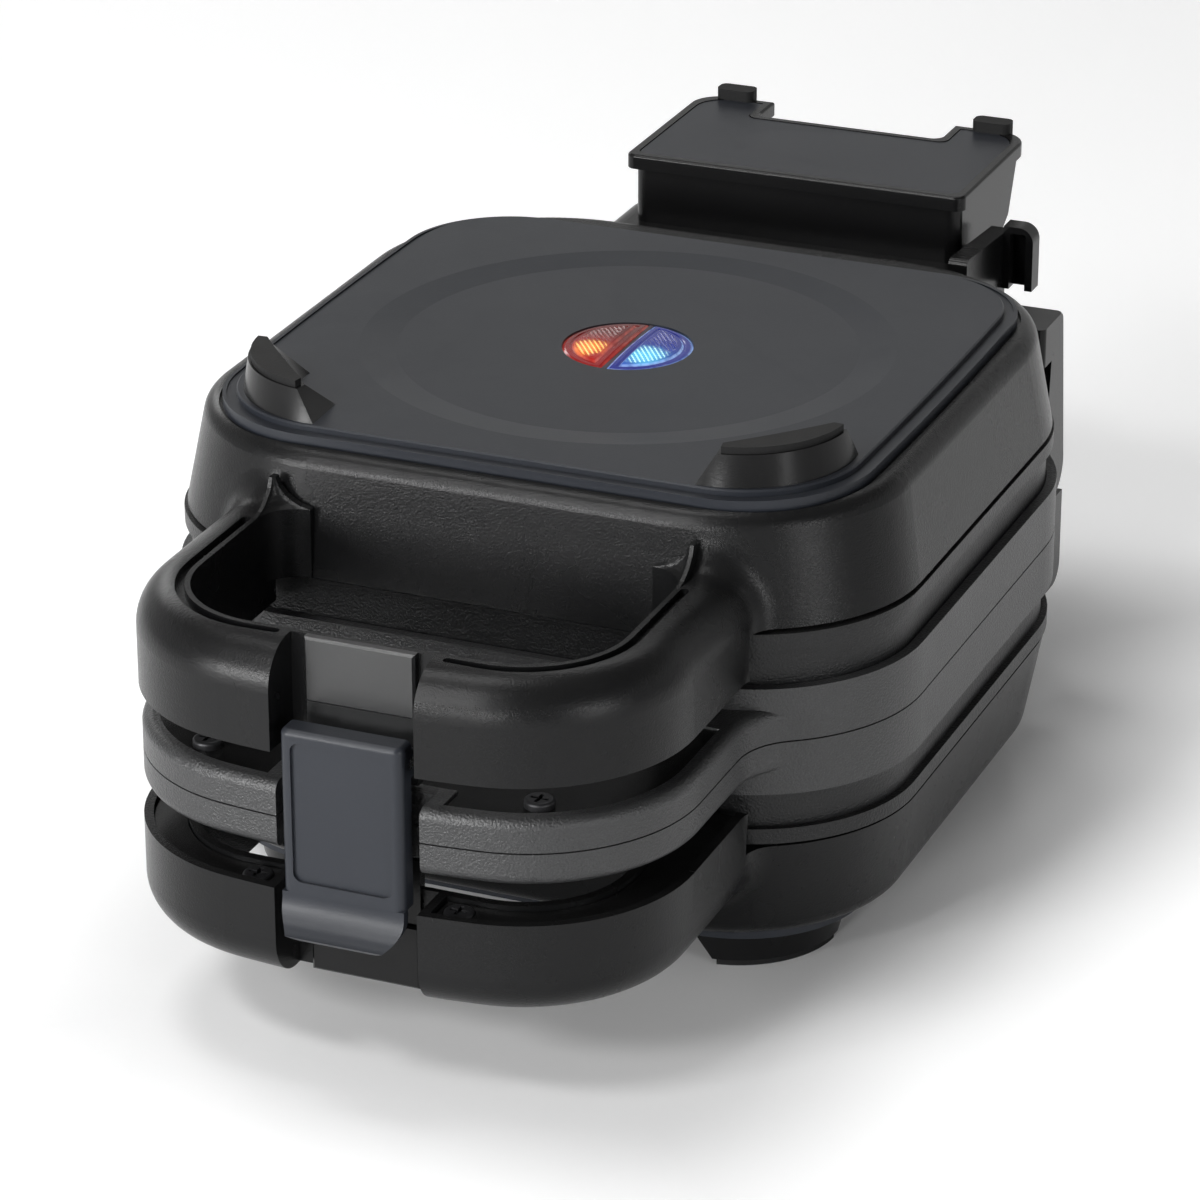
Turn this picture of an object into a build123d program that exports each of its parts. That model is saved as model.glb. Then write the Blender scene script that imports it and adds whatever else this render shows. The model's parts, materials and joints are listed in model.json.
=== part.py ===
from build123d import *
import os
from math import cos, radians, sin, sqrt

# Electric pie maker: two mirrored clamshell halves, hinged at the rear and held shut by a front latch.
# Millimetres. X is left to right, -Y is the handle side, +Z is up, and z = 0 is the worktop.
# Each half is drawn from the parting seam outwards (z = 0 at the seam), then set above or below it.

# Seam
seam_height = 71.4
seam_relief = 0.2

# Longer than the whole part, for cuts that run right through
beyond = 500.0

# Plan of a half's body at the seam
body_half_width = 101.0
body_front = 97.5
body_rear = 101.5
body_front_radius = 46.0
body_rear_radius = 52.0

# Plan of the front lobe under the handle
handle_half_width = 71.6
lobe_margin = 0.7
lobe_half_width = handle_half_width + lobe_margin
lobe_front = 176.3
lobe_crown_radius = 262.0
lobe_corner_radius = 44.0
lobe_blend_radius = 17.5
lobe_edge_radius = 2.8

# Heights above the seam
carrier_height = 14.4
lobe_height = 8.8
band_step = 24.5
band_top = 28.6
skirt_side = 29.7
skirt_front = 25.6
handle_skirt = 18.1
handle_top = 44.2
shoulder_height = 57.9
panel_seat = 57.0
panel_underside = 59.0
panel_rim = 59.7
panel_bead = 60.1
panel_top = 61.4
panel_edge = 0.4

# Outer shell
wall = 2.4
shell_side_flare = 0.4
shell_rear_flare = 0.6
shell_lean = 6.9
shell_front_lean = 4.9
shell_rear_lean = 3.6
shoulder_radius = 5.0
handle_front = 178.6
arm_width = 15.3
handle_roundness = 11.0
handle_blend = 9.0
arm_back = 60.0
grip_half_width = handle_half_width - arm_width
grip_front = 163.4
grip_corner_radius = 26.0
grip_back = 70.0
grip_root_radius = 10.0
grip_root_y = 97.0
root_levels = [(0.0, 1.0), (0.7, 0.72), (1.6, 0.53), (3.0, 0.33), (5.0, 0.15), (7.5, 0.05)]
skirt_step_y = 97.4
rim_cut_front = 120.0
rim_cut_back = 80.0
groove_offset = 1.4
groove_width = 2.4
groove_depth = 1.8
groove_end_x = 22.5
groove_end_y = 107.6

# Band between the shell and the carrier
band_inset = 1.2
band_recess = 3.0
band_lap = 3.0
band_wall = 2.2
spigot_height = 33.0
spigot_wall = 2.0
fit_gap = 0.3

# Top panel of the lid and bottom cover of the base
panel_half_width = 83.4
panel_front = 84.1
panel_rear = 80.8
panel_bow = 1.5
panel_front_radius = 30.6
panel_rear_radius = 26.2
rim_width = 3.6
bead_width = 1.0
panel_gap = 1.0
ledge_width = 2.0
skin_inset = 3.0
dish_outer_radius = 70.6
dish_inner_radius = 60.8
dish_depth = 0.9

# Indicator window
lens_radius = 17.2
lens_gap = 0.15
lens_divider = 1.4
lens_thickness = 3.4
lens_rise = 1.0
lens_dome_radius = 190.0
window_inset = 3.6
window_height = 0.5
window_corner = 2.4
window_gap = 1.6
window_root = 1.6
window_drop = 0.3
housing_wall = 1.8
housing_floor = 44.0
housing_fit = 0.1
lens_seat = 1.2
rib_end = 0.4
rib_rise = 2.2
lamp_radius = 2.6
lamp_length = 10.0
lamp_place = 8.4
lamp_tip = 0.6

# Arc feet on the panel corners
foot_x = 52.8
foot_y = 53.5
foot_height = 10.0
pad_thickness = 1.8
foot_outer_radius = 29.6
foot_inner_radius = 15.0
foot_start = -92.0
foot_end = 8.0
pad_outer_radius = 28.2
pad_end_radius = 24.6
pad_middle_radius = 19.4
pad_start = -82.0
pad_end = -2.0
pad_margin = 0.7

# Pie plates
pie_radius = 72.0
plate_rim = 10.0
plate_half = pie_radius + plate_rim
plate_screw_gap = 4.86
plate_flange = 3.0
plate_wall = 2.5
ledge_inset = 4.3
ledge_thickness = 2.0
pie_taper = 6.0
pie_floor_radius = 8.0
base_pie_depth = 22.0
lid_pie_depth = 12.0
crimp_offset = 1.6
crimp_width = 3.6
crimp_inner_radius = pie_radius + crimp_offset
crimp_outer_radius = crimp_inner_radius + crimp_width
crimp_depth = 1.2
plate_boss_place = 62.0
plate_boss_radius = 4.5
plate_boss_top = 8.2

# Heating parts on the back of each plate
heater_radius = 46.0
heater_tube_radius = 3.2
heater_gap_angle = 44.0
heater_tail = 20.0
heater_bed_half = 5.2
heater_bed_height = 3.0
seat_gap = 0.1
reflector_sheet = 0.8
reflector_clearance = 3.5
reflector_radius = pie_radius + plate_wall + reflector_clearance
reflector_inset = 5.0
reflector_half = plate_half - reflector_inset
reflector_corner_radius = 20.0
reflector_air = 5.0
reflector_bend = 5.0
reflector_taper = 4.0
tail_hole_radius = 5.0
thermostat_radius = 8.0
thermostat_height = 6.0
thermostat_step = 2.0
thermostat_cap = 1.5
tab_x = 4.0
tab_half = 0.4
tab_width = 4.8
tab_height = 4.0
fuse_radius = 2.2
fuse_length = 22.0
clip_half_width = 4.0
clip_reach = 9.0
clip_sheet = 0.8
wire_radius = 1.3
lead_bow = 3.0
lead_sag_y = 16.0
lead_sag = 6.0
lead_rise = 4.0

# Screws
screw_head_radius = 3.8
screw_head_height = 2.0
screw_head_rounding = 0.4
head_clearance = 0.2
head_sink = 0.2
screw_shank_radius = 1.5
screw_length = 9.0
deck_screw_length = 5.0
screw_cross_width = 1.0
screw_cross_length = 4.6
screw_cross_depth = 1.0
boss_radius = 4.0
corner_screw_x = 77.8
front_screw_y = 75.5
rear_screw_y = 76.6
screw_to_edge = plate_half - (corner_screw_x + front_screw_y) / 2
plate_corner_radius = (plate_screw_gap + sqrt(2) * screw_to_edge) / (sqrt(2) - 1)
deck_screw_x = 43.7
deck_screw_y = 161.5
liner_screw_x = 26.6
liner_screw_y = 170.8
liner_boss_top = 37.4

# Deck and liner plates of the handle
deck_edge = 4.2
deck_recess = 0.6
deck_plate = 1.4
deck_pocket = 3.0
pocket_edge = 3.0
deck_back = 103.0
liner_drop = 1.3
liner_thickness = 1.8
liner_head_drop = 0.8
liner_seat = 1.2
liner_notch_length = 60.0

# Latch bracket and catch
notch_half_width = 18.8
notch_depth = 165.0
carrier_notch_depth = 167.0
bracket_half_width = 14.4
bracket_skin = 1.2
bracket_proud = 1.2
bracket_step = 27.6
bracket_bottom = 10.0
bracket_top = 44.4
bracket_edge = 0.6
bracket_web_inset = 2.0
lug_inner_x = 9.0
lug_outer_x = 13.3
lug_radius = 3.5
lug_arm_top = 0.5
gusset_half = 0.8
gusset_front = 168.4
gusset_range = (11.0, 16.0)
latch_axis_y = 173.0
latch_axis_z = 19.4
pin_radius = 1.6
pin_clearance = 0.05
nose_half_width = 10.0
nose_top = 11.0
nose_bottom = 8.0
nose_front = 173.0
nose_web = 3.4
nose_lead = 1.3

# Latch
latch_half_width = 16.0
latch_front = 179.1
latch_plate = 2.5
latch_top = 25.2
latch_top_wall = 2.0
latch_top_back = 173.0
latch_cheek = 2.2
eye_radius = 3.6
latch_rim_radius = 1.6
latch_flange_back = 173.6
latch_frame_bottom = 17.6
latch_border = 3.0
latch_border_height = 0.9
latch_corner_radius = 2.4
tooth_tip = 173.3
tooth_top = 11.4
tooth_bottom = 14.5
tooth_root = 0.5
tooth_lead = 0.9
lip_bottom = 27.6
lip_reach = 185.0
lip_thickness = 2.2
lip_corner_radius = 7.0
lip_sag = 1.7
lip_drop = 0.3
lip_across = 0.84
lip_down = 0.55
lip_edge = 1.1
lip_blank = 60.0

# Rear hinge
hinge_y = 103.0
knuckle_radius = 9.0
hinge_pin_radius = 3.0
hinge_head_radius = 5.0
hinge_head = 2.2
lid_cheek_inner = 83.3
lid_cheek_outer = 86.0
lid_cheek_cap = 0.8
base_cheek_inner = 79.6
base_cheek_outer = 83.0
base_cheek_bottom = 37.0
base_cheek_step = 9.8
base_cheek_front = 84.0
base_cheek_rear = 112.0
base_cheek_round = 6.0
base_cheek_drop = 10.0
cheek_front = 98.6
cheek_rear = 106.8
cheek_top = 45.3
cheek_round = 2.4
bridge_corner = 2.0
frame_half_width = 58.0
frame_front = 90.0
frame_rear = 144.0
frame_top = 47.9
frame_bottom = 1.4
frame_round = 7.0
frame_wall = 3.0
frame_front_wall = 4.0
frame_corner = 4.0
frame_rib_x = 32.0
bridge_bottom = 34.0
bridge_round = 5.0
hook_width = 8.8
hook_slot = 4.6
hook_wall = 2.0
hook_top = 56.0
hook_bottom = 37.4
hook_depth = 6.0
hook_round = 4.4
hook_back = 1.4
hook_rib_front = 106.0
hook_rib_width = 5.5
hook_rib_high = 56.3
hook_rib_low = 53.4
hook_rib_round = 2.0

# Rear box on the lid
box_half_width = 49.0
box_front = 124.0
box_top = 64.2
box_rear_top = 177.0
box_rear_bottom = 170.0
box_toe_y = 150.0
box_toe_z = 36.0
box_wall = 2.0
box_edge_radius = 4.0
cover_half_width = 50.9
cover_front = 122.0
cover_rear = 168.9
cover_top = 68.4
cover_corner_radius = 9.0
cover_front_radius = 3.0
cover_edge = 0.8
prong_rear = 182.3
prong_inner_x = 26.6
prong_root_x = 29.4
cover_rim = 2.6
inlay_thickness = 1.2
inlay_gap = 0.2
nub_inner_x = 34.0
nub_outer_x = 45.3
nub_front = 179.0
nub_rear = 185.0
nub_bottom = 66.0
nub_radius = 2.0

# Rear of the base
stand_rear = 143.0
stand_top = 43.6
stand_round = 6.0
stand_wall = 2.6
stand_corner = 5.0
stand_foot_x = 44.0
stand_foot_y = 134.0
stand_foot_radius = 9.0
stand_foot_top_radius = 7.0
stand_pad = 2.0
gland_radius = 6.5
gland_bore_radius = 3.5
gland_length = 8.0
gland_rib = 1.0
gland_rib_width = 1.6
gland_pitch = 2.6
gland_steps = 3
gland_y = 126.0
gland_z = 52.4
terminal_width = 34.0
terminal_depth = 14.0
terminal_height = 10.0
terminal_y = 52.0
terminal_pitch = 9.0
terminal_hole_radius = 2.2
terminal_hole_depth = 3.0

# Slots in the base cover
vent_count = 7
vent_pitch = 9.0
vent_length = 44.0
vent_width = 3.0
vent_x = 34.0


def upper(shape):
    """Set a half drawn from the seam onto the lid side."""
    return Pos(0, 0, seam_height) * shape


def lower(shape):
    """Mirror a half drawn from the seam onto the base side."""
    return Pos(0, 0, seam_height) * mirror(shape, about=Plane.XY)


def slab(x_range, y_range, z_range):
    """A block between two limits along each axis."""
    limits = (x_range, y_range, z_range)
    size = [high - low for low, high in limits]
    middle = [(high + low) / 2 for low, high in limits]
    return Pos(*middle) * Box(*size)


def post(x, y, radius, bottom, top):
    """An upright round post between two heights."""
    return Pos(x, y, (bottom + top) / 2) * Cylinder(radius, top - bottom)


def bar_x(x_range, y, z, radius):
    """A round bar along X at a given place."""
    low, high = x_range
    return Pos((low + high) / 2, y, z) * Rot(0, 90, 0) * Cylinder(radius, high - low)


def raised(plan, bottom, top):
    """Extrude a plan between two heights."""
    return extrude(Pos(0, 0, bottom) * plan, amount=top - bottom)


def both_sides(shape):
    """A shape and its mirror image across the middle."""
    return shape + mirror(shape, about=Plane.YZ)


def rounded_plan(half_width, front, rear, front_radius, rear_radius):
    """A rectangle with one corner radius at the front and another at the rear."""
    plan = Pos(0, (rear - front) / 2) * Rectangle(2 * half_width, rear + front)
    plan = fillet(plan.vertices().group_by(Axis.Y)[0], front_radius)
    return fillet(plan.vertices().group_by(Axis.Y)[-1], rear_radius)


def body_plan(inset=0.0):
    """Plan of the body at the seam, drawn in by an inset."""
    return rounded_plan(
        body_half_width - inset,
        body_front - inset,
        body_rear - inset,
        body_front_radius - inset,
        body_rear_radius - inset,
    )


def handle_plan(half_width, front, inset=0.0):
    """Plan of the handle or its lobe: straight arms, round corners and a crowned front."""
    length = front - arm_back
    arms = Pos(0, -arm_back - length / 2) * Rectangle(2 * (half_width - inset), length)
    arms &= Pos(0, lobe_crown_radius - front) * Circle(lobe_crown_radius - inset)
    return fillet(arms.vertices().sort_by(Axis.Y)[:2], lobe_corner_radius - inset)


def lobed_plan(inset=0.0):
    """Plan of the whole seam: the body with the front lobe blended into it."""
    plan = body_plan(inset) + handle_plan(lobe_half_width, lobe_front, inset)
    side_x = lobe_half_width - inset
    near_body = -body_front - lobe_blend_radius
    roots = [v for v in plan.vertices() if v.Y > near_body and abs(abs(v.X) - side_x) < 0.01]
    return fillet(roots, lobe_blend_radius + inset)


def grip_plan(grow=0.0):
    """Plan of the finger opening behind the handle bar."""
    length = grip_front + grow - grip_back
    plan = Pos(0, -grip_back - length / 2) * Rectangle(2 * (grip_half_width + grow), length)
    return fillet(plan.vertices().group_by(Axis.Y)[0], grip_corner_radius + grow)


def panel_plan(grow=0.0):
    """Plan of the top panel: sides bowed a little, larger radius at the front corners."""
    half_width = panel_half_width + panel_bow + grow
    front = panel_front + grow
    rear = panel_rear + grow
    bow_radius = (panel_front**2 + panel_bow**2) / (2 * panel_bow)
    plan = Pos(0, (rear - front) / 2) * Rectangle(2 * half_width, rear + front)
    plan &= Pos(bow_radius - half_width, 0) * Circle(bow_radius)
    plan &= Pos(half_width - bow_radius, 0) * Circle(bow_radius)
    plan = fillet(plan.vertices().group_by(Axis.Y)[0], panel_front_radius + grow)
    return fillet(plan.vertices().group_by(Axis.Y)[-1], panel_rear_radius + grow)


def square_plan(half, radius):
    """A square with round corners, centred on the pie."""
    return RectangleRounded(2 * half, 2 * half, radius)


def body_block(inset=0.0):
    """The leaning body of a shell, from the handle's skirt up to its round shoulder."""
    low = rounded_plan(
        body_half_width + shell_side_flare - inset,
        body_front - inset,
        body_rear + shell_rear_flare - inset,
        body_front_radius - inset,
        body_rear_radius - inset,
    )
    high = rounded_plan(
        body_half_width + shell_side_flare - shell_lean - inset,
        body_front - shell_front_lean - inset,
        body_rear + shell_rear_flare - shell_rear_lean - inset,
        body_front_radius - inset,
        body_rear_radius - inset,
    )
    block = loft([Pos(0, 0, handle_skirt) * low, Pos(0, 0, shoulder_height - inset) * high])
    return fillet(block.edges().group_by(Axis.Z)[-1], shoulder_radius - inset)


def root_plan(radius):
    """Plan of one round inner corner between a handle arm and the body."""
    corner = Rectangle(radius + 1, radius + 2, align=(Align.MAX, Align.MIN))
    corner -= Pos(-radius - 1, 0) * Circle(radius)
    return Pos(grip_half_width + 1, -grip_root_y - radius) * corner


def grip_roots():
    """The two round inner corners where the finger opening meets the body, fading out up the body's front."""
    corner = raised(root_plan(grip_root_radius), skirt_front, handle_top)
    low, low_share = root_levels[0]
    for high, high_share in root_levels[1:]:
        sections = [(low, low_share), (high, high_share)]
        step = [Pos(0, 0, handle_top + rise) * root_plan(grip_root_radius * share) for rise,
                share in sections]
        corner += loft(step)
        low, low_share = high, high_share
    return both_sides(corner)


def handle_block(inset=0.0):
    """The U-shaped handle with its round outer edge, open inside the finger opening."""
    block = raised(handle_plan(handle_half_width, handle_front, inset), handle_skirt, handle_top - inset)
    rim = block.edges().group_by(Axis.Z)[-1].sort_by(Axis.Y)[:-1]
    block = fillet(rim, handle_roundness - inset)
    return block - raised(grip_plan(inset), 0, shoulder_height)


def finger_groove():
    """The thin groove along the inner edge of the handle, in two mirrored strokes."""
    middle = groove_offset + groove_width / 2
    stroke = grip_plan(groove_offset + groove_width) - grip_plan(groove_offset)
    stroke &= Pos(0, -groove_end_y - beyond / 2) * Rectangle(beyond, beyond)
    stroke -= Rectangle(2 * groove_end_x, 2 * beyond)
    for side in (-1, 1):
        stroke += Pos(side * groove_end_x, -grip_front - middle) * Circle(groove_width / 2)
        stroke += Pos(side * (grip_half_width + middle), -groove_end_y) * Circle(groove_width / 2)
    return raised(stroke, handle_top - groove_depth, handle_top + 1)


def is_junction(edge):
    """True on the outer corner where a handle arm runs into the body."""
    middle = edge.center()
    beside_grip = grip_half_width + 0.5 < abs(middle.X) < handle_half_width + handle_blend
    return beside_grip and -body_front < middle.Y < -arm_back and edge.geom_type == GeomType.BSPLINE


def half_shell():
    """One outer shell: body and handle in one moulding, hollow from the seam side."""
    outer = body_block() + handle_block()
    outer = fillet([e for e in outer.edges() if is_junction(e)], handle_blend)
    outer += grip_roots()
    foot = handle_plan(handle_half_width, handle_front, wall) - grip_plan(wall)
    hollow = body_block(wall) + handle_block(wall) + raised(foot, 0, handle_skirt + 1)
    shell = outer - hollow
    behind_arms = slab((-beyond, beyond), (-skirt_step_y, beyond), (0, skirt_side))
    behind_arms -= slab((-grip_half_width, grip_half_width), (-rim_cut_front, -rim_cut_back), (0, skirt_side))
    shell -= behind_arms
    shell -= slab((-grip_half_width, grip_half_width), (-rim_cut_front, 0), (0, skirt_front))
    shell -= slab((-notch_half_width, notch_half_width), (-beyond, -notch_depth), (0, beyond))
    ends = slab((notch_half_width, notch_half_width + wall), (-handle_front, -notch_depth),
            (handle_skirt, handle_top))
    shell += both_sides(ends) & handle_block()
    shell -= finger_groove()
    shell -= raised(panel_plan(rim_width + panel_gap), panel_seat, panel_top)
    shell -= raised(panel_plan(-ledge_width), 0, panel_top)
    return shell


def spread(place, shape):
    """The same piece at each of several places in plan."""
    return [Pos(x, y, 0) * shape for x, y in place]


corner_places = [
    (-corner_screw_x, -front_screw_y),
    (corner_screw_x, -front_screw_y),
    (-corner_screw_x, rear_screw_y),
    (corner_screw_x, rear_screw_y),
]
deck_places = [(-deck_screw_x, -deck_screw_y), (deck_screw_x, -deck_screw_y)]
liner_places = [(-liner_screw_x, -liner_screw_y), (liner_screw_x, -liner_screw_y)]
carrier_floor = seam_relief + plate_flange + ledge_thickness
corner_head = seam_relief + head_sink
deck_top = lobe_height - deck_recess
liner_bottom = handle_skirt + liner_drop
liner_top = liner_bottom + liner_thickness
liner_head = liner_bottom - liner_head_drop


def whole_shell():
    """The shell with its screw posts: four in the body, two in the handle bar."""
    shell = half_shell()
    stem = post(0, 0, boss_radius, carrier_floor, shoulder_height - wall)
    for pillar in spread(corner_places, stem):
        shell += pillar
    stem = post(0, 0, boss_radius, liner_top, liner_boss_top)
    for pillar in spread(liner_places, stem):
        shell += pillar
    corner_hole = post(0, 0, screw_shank_radius, 0, corner_head + screw_head_height + screw_length)
    for hole in spread(corner_places, corner_hole):
        shell -= hole
    liner_hole = post(0, 0, screw_shank_radius, 0, liner_head + screw_head_height + screw_length)
    for hole in spread(liner_places, liner_hole):
        shell -= hole
    return shell


def screw(x, y, head_face, toward, length=screw_length):
    """A cross-head screw whose head faces down at head_face, or up when toward is -1."""
    head = Cylinder(screw_head_radius, screw_head_height)
    head = fillet(head.edges().group_by(Axis.Z)[0], screw_head_height * screw_head_rounding)
    for size in ((screw_cross_length, screw_cross_width), (screw_cross_width, screw_cross_length)):
        head -= Pos(0, 0, -screw_head_height / 2) * Box(*size, 2 * screw_cross_depth)
    body = Pos(0, 0, screw_head_height / 2) * head
    body += post(0, 0, screw_shank_radius, screw_head_height, screw_head_height + length)
    if toward < 0:
        body = mirror(body, about=Plane.XY)
    return Pos(x, y, head_face) * body


def half_screws():
    """Every screw of one half: body corners, deck plate and handle liner."""
    screws = [screw(x, y, corner_head, 1) for x, y in corner_places]
    screws += [screw(x, y, deck_top + screw_head_height, -1, deck_screw_length) for x, y in deck_places]
    screws += [screw(x, y, liner_head, 1) for x, y in liner_places]
    return Compound(screws)


def deck_plan(inset):
    """Plan of the deck plate on the lobe."""
    plan = handle_plan(lobe_half_width, lobe_front, inset)
    plan &= Pos(0, -deck_back - inset - beyond / 2) * Rectangle(beyond, beyond)
    plan -= Pos(0, -carrier_notch_depth - beyond / 2) * Rectangle(2 * (notch_half_width + inset),
            beyond + 2 * inset)
    return plan


def carrier():
    """The carrier ring: seam face, side walls, front lobe and the pocket for the pie plate."""
    ring = raised(body_plan(), seam_relief, carrier_height)
    lobe = raised(lobed_plan(), seam_relief, lobe_height)
    lobe = fillet(lobe.edges().group_by(Axis.Z)[-1], lobe_edge_radius)
    block = lobe + ring
    inner_edge = band_recess + band_wall + fit_gap
    block -= raised(body_plan(inner_edge), carrier_floor, carrier_height + 1)
    block -= raised(square_plan(plate_half + fit_gap, plate_corner_radius + fit_gap), 0,
            seam_relief + plate_flange)
    block -= raised(square_plan(plate_half - ledge_inset, plate_corner_radius - ledge_inset), 0,
            carrier_height)
    block -= raised(body_plan(band_recess - fit_gap), carrier_height - band_lap, carrier_height + 1)
    block -= slab((-notch_half_width, notch_half_width), (-beyond, -carrier_notch_depth), (0, beyond))
    block -= raised(deck_plan(deck_edge), deck_top - deck_plate, lobe_height + 1)
    pocket = raised(deck_plan(deck_edge + pocket_edge), lobe_height - deck_pocket - deck_plate, lobe_height)
    for pillar in spread(deck_places, post(0, 0, boss_radius, 0, deck_top - deck_plate)):
        pocket -= pillar
    block -= pocket
    for hole in spread(corner_places, post(0, 0, screw_shank_radius, 0, carrier_height)):
        block -= hole
    for hole in spread(corner_places, post(0, 0, screw_head_radius + head_clearance, 0,
            corner_head + screw_head_height)):
        block -= hole
    for hole in spread(deck_places, post(0, 0, screw_shank_radius, 0, lobe_height)):
        block -= hole
    return block


def deck():
    """The glossy plate let into the lobe under the handle, with its screw seats."""
    plate = raised(deck_plan(deck_edge + fit_gap), deck_top - deck_plate, deck_top)
    for hole in spread(deck_places, post(0, 0, screw_shank_radius, 0, lobe_height)):
        plate -= hole
    return plate


def band():
    """The dark recessed band with its textured flush rim and the spigot that enters the shell."""
    inner = band_recess + band_wall
    ring = raised(body_plan(band_recess), carrier_height - band_lap, band_step)
    ring += raised(body_plan(band_inset), band_step, band_top)
    spigot_face = shell_face_at_skirt()
    ring += raised(body_plan(spigot_face), band_top, spigot_height)
    ring -= raised(body_plan(inner), 0, band_step)
    ring -= raised(body_plan(spigot_face + spigot_wall), 0, spigot_height + 1)
    front = body_front - spigot_face
    ring -= slab((-grip_half_width - 1, grip_half_width + 1), (-rim_cut_front, -front),
            (skirt_front - fit_gap, beyond))
    return ring


def shell_face_at_skirt():
    """How far the spigot stands inside the seam outline to pass the shell's inner face."""
    return wall + shell_lean / 2 + fit_gap


def top_panel(with_dish):
    """The top panel: raised face, rim channel and bead, hollow beneath."""
    panel = raised(panel_plan(rim_width), panel_seat, panel_rim)
    panel += raised(panel_plan(rim_width), panel_rim, panel_bead)
    panel -= raised(panel_plan(rim_width - bead_width), panel_rim, panel_bead)
    face = raised(panel_plan(), panel_rim, panel_top)
    panel += chamfer(face.edges().group_by(Axis.Z)[-1], panel_edge)
    panel -= raised(panel_plan(-skin_inset), 0, panel_underside)
    if with_dish:
        dish = Cone(dish_inner_radius, dish_outer_radius, dish_depth)
        panel -= Pos(0, 0, panel_top - dish_depth / 2) * dish
    return panel


def lid_panel():
    """The lid's panel with its shallow dish and the round window hole."""
    return top_panel(True) - post(0, 0, lens_radius + lens_gap, 0, panel_top)


def bottom_cover():
    """The base's cover with rows of slots for cooling air."""
    cover = top_panel(False)
    slot = SlotOverall(vent_length, vent_width)
    for side in (-1, 1):
        for row in range(vent_count):
            y = (row - (vent_count - 1) / 2) * vent_pitch
            cover -= raised(Pos(side * vent_x, y) * slot, panel_underside - 1, panel_top + 1)
    return cover


def lens(side):
    """Half of the round window, gently domed, with its raised inner field."""
    top = panel_top - dish_depth + lens_rise
    disc = post(0, 0, lens_radius, top - lens_thickness, top)
    disc &= Pos(0, 0, top - lens_dome_radius) * Sphere(lens_dome_radius)
    disc &= slab((lens_divider / 2, lens_radius), (-lens_radius, lens_radius), (0, beyond))
    field = Circle(lens_radius - window_inset)
    field &= Pos(lens_divider / 2 + window_gap + lens_radius, 0) * Rectangle(2 * lens_radius,
            2 * lens_radius)
    field = fillet(field.vertices(), window_corner)
    disc += raised(field, top - window_root, top + window_height - window_drop)
    return disc if side > 0 else mirror(disc, about=Plane.YZ)


def indicator_housing():
    """The cup below the window with the rib that parts the two lights."""
    top = panel_top - dish_depth + lens_rise - lens_thickness
    cup = post(0, 0, lens_radius + housing_wall, housing_floor, panel_underside)
    cup -= post(0, 0, lens_radius + lens_gap, top, panel_underside + 1)
    cup -= post(0, 0, lens_radius - lens_seat, housing_floor + housing_wall, top + 1)
    rib_range = (rib_end - lens_radius, lens_radius - rib_end)
    rib = slab((-lens_divider / 2 + housing_fit, lens_divider / 2 - housing_fit), rib_range,
            (housing_floor + 1, top + rib_rise))
    cup += rib
    for x in (-lamp_place, lamp_place):
        cup -= post(x, 0, lamp_radius, housing_floor - 1, housing_floor + housing_wall + 1)
    return cup


def lamps():
    """The two small neon lamps standing in the housing floor."""
    tubes = []
    for x in (-lamp_place, lamp_place):
        tube = post(x, 0, lamp_radius, housing_floor - 2, housing_floor + lamp_length)
        tubes.append(fillet(tube.edges().group_by(Axis.Z)[-1], lamp_radius * lamp_tip))
    return Compound(tubes)


def sector(outer, inner_end, inner_middle, start, end, height):
    """A flat arc piece: round outer edge, flatter inner edge and straight ends."""
    def at(radius, angle):
        return (radius * cos(radians(angle)), radius * sin(radians(angle)))

    middle = (start + end) / 2
    outline = ThreePointArc(at(outer, start), at(outer, middle), at(outer, end))
    outline += Line(at(outer, end), at(inner_end, end))
    outline += ThreePointArc(at(inner_end, end), at(inner_middle, middle), at(inner_end, start))
    outline += Line(at(inner_end, start), at(outer, start))
    return Pos(0, 0, height) * make_face(outline)


def arc_foot(side):
    """A leaning arc foot on a front corner of the panel."""
    low = sector(foot_outer_radius, foot_inner_radius, foot_inner_radius, foot_start, foot_end, panel_top)
    top = panel_top + foot_height - pad_thickness
    high = sector(pad_outer_radius, pad_end_radius, pad_middle_radius, pad_start, pad_end, top)
    foot = Pos(foot_x, -foot_y, 0) * loft([low, high], ruled=True)
    return foot if side > 0 else mirror(foot, about=Plane.YZ)


def foot_pads():
    """The rubber crescents on the two arc feet."""
    low = panel_top + foot_height - pad_thickness
    plan = sector(
        pad_outer_radius - pad_margin,
        pad_end_radius + pad_margin / 2,
        pad_middle_radius + pad_margin,
        pad_start + 2,
        pad_end - 2,
        low,
    )
    pad = Pos(foot_x, -foot_y, 0) * extrude(plan, amount=pad_thickness)
    return Compound([pad, mirror(pad, about=Plane.YZ)])


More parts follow.
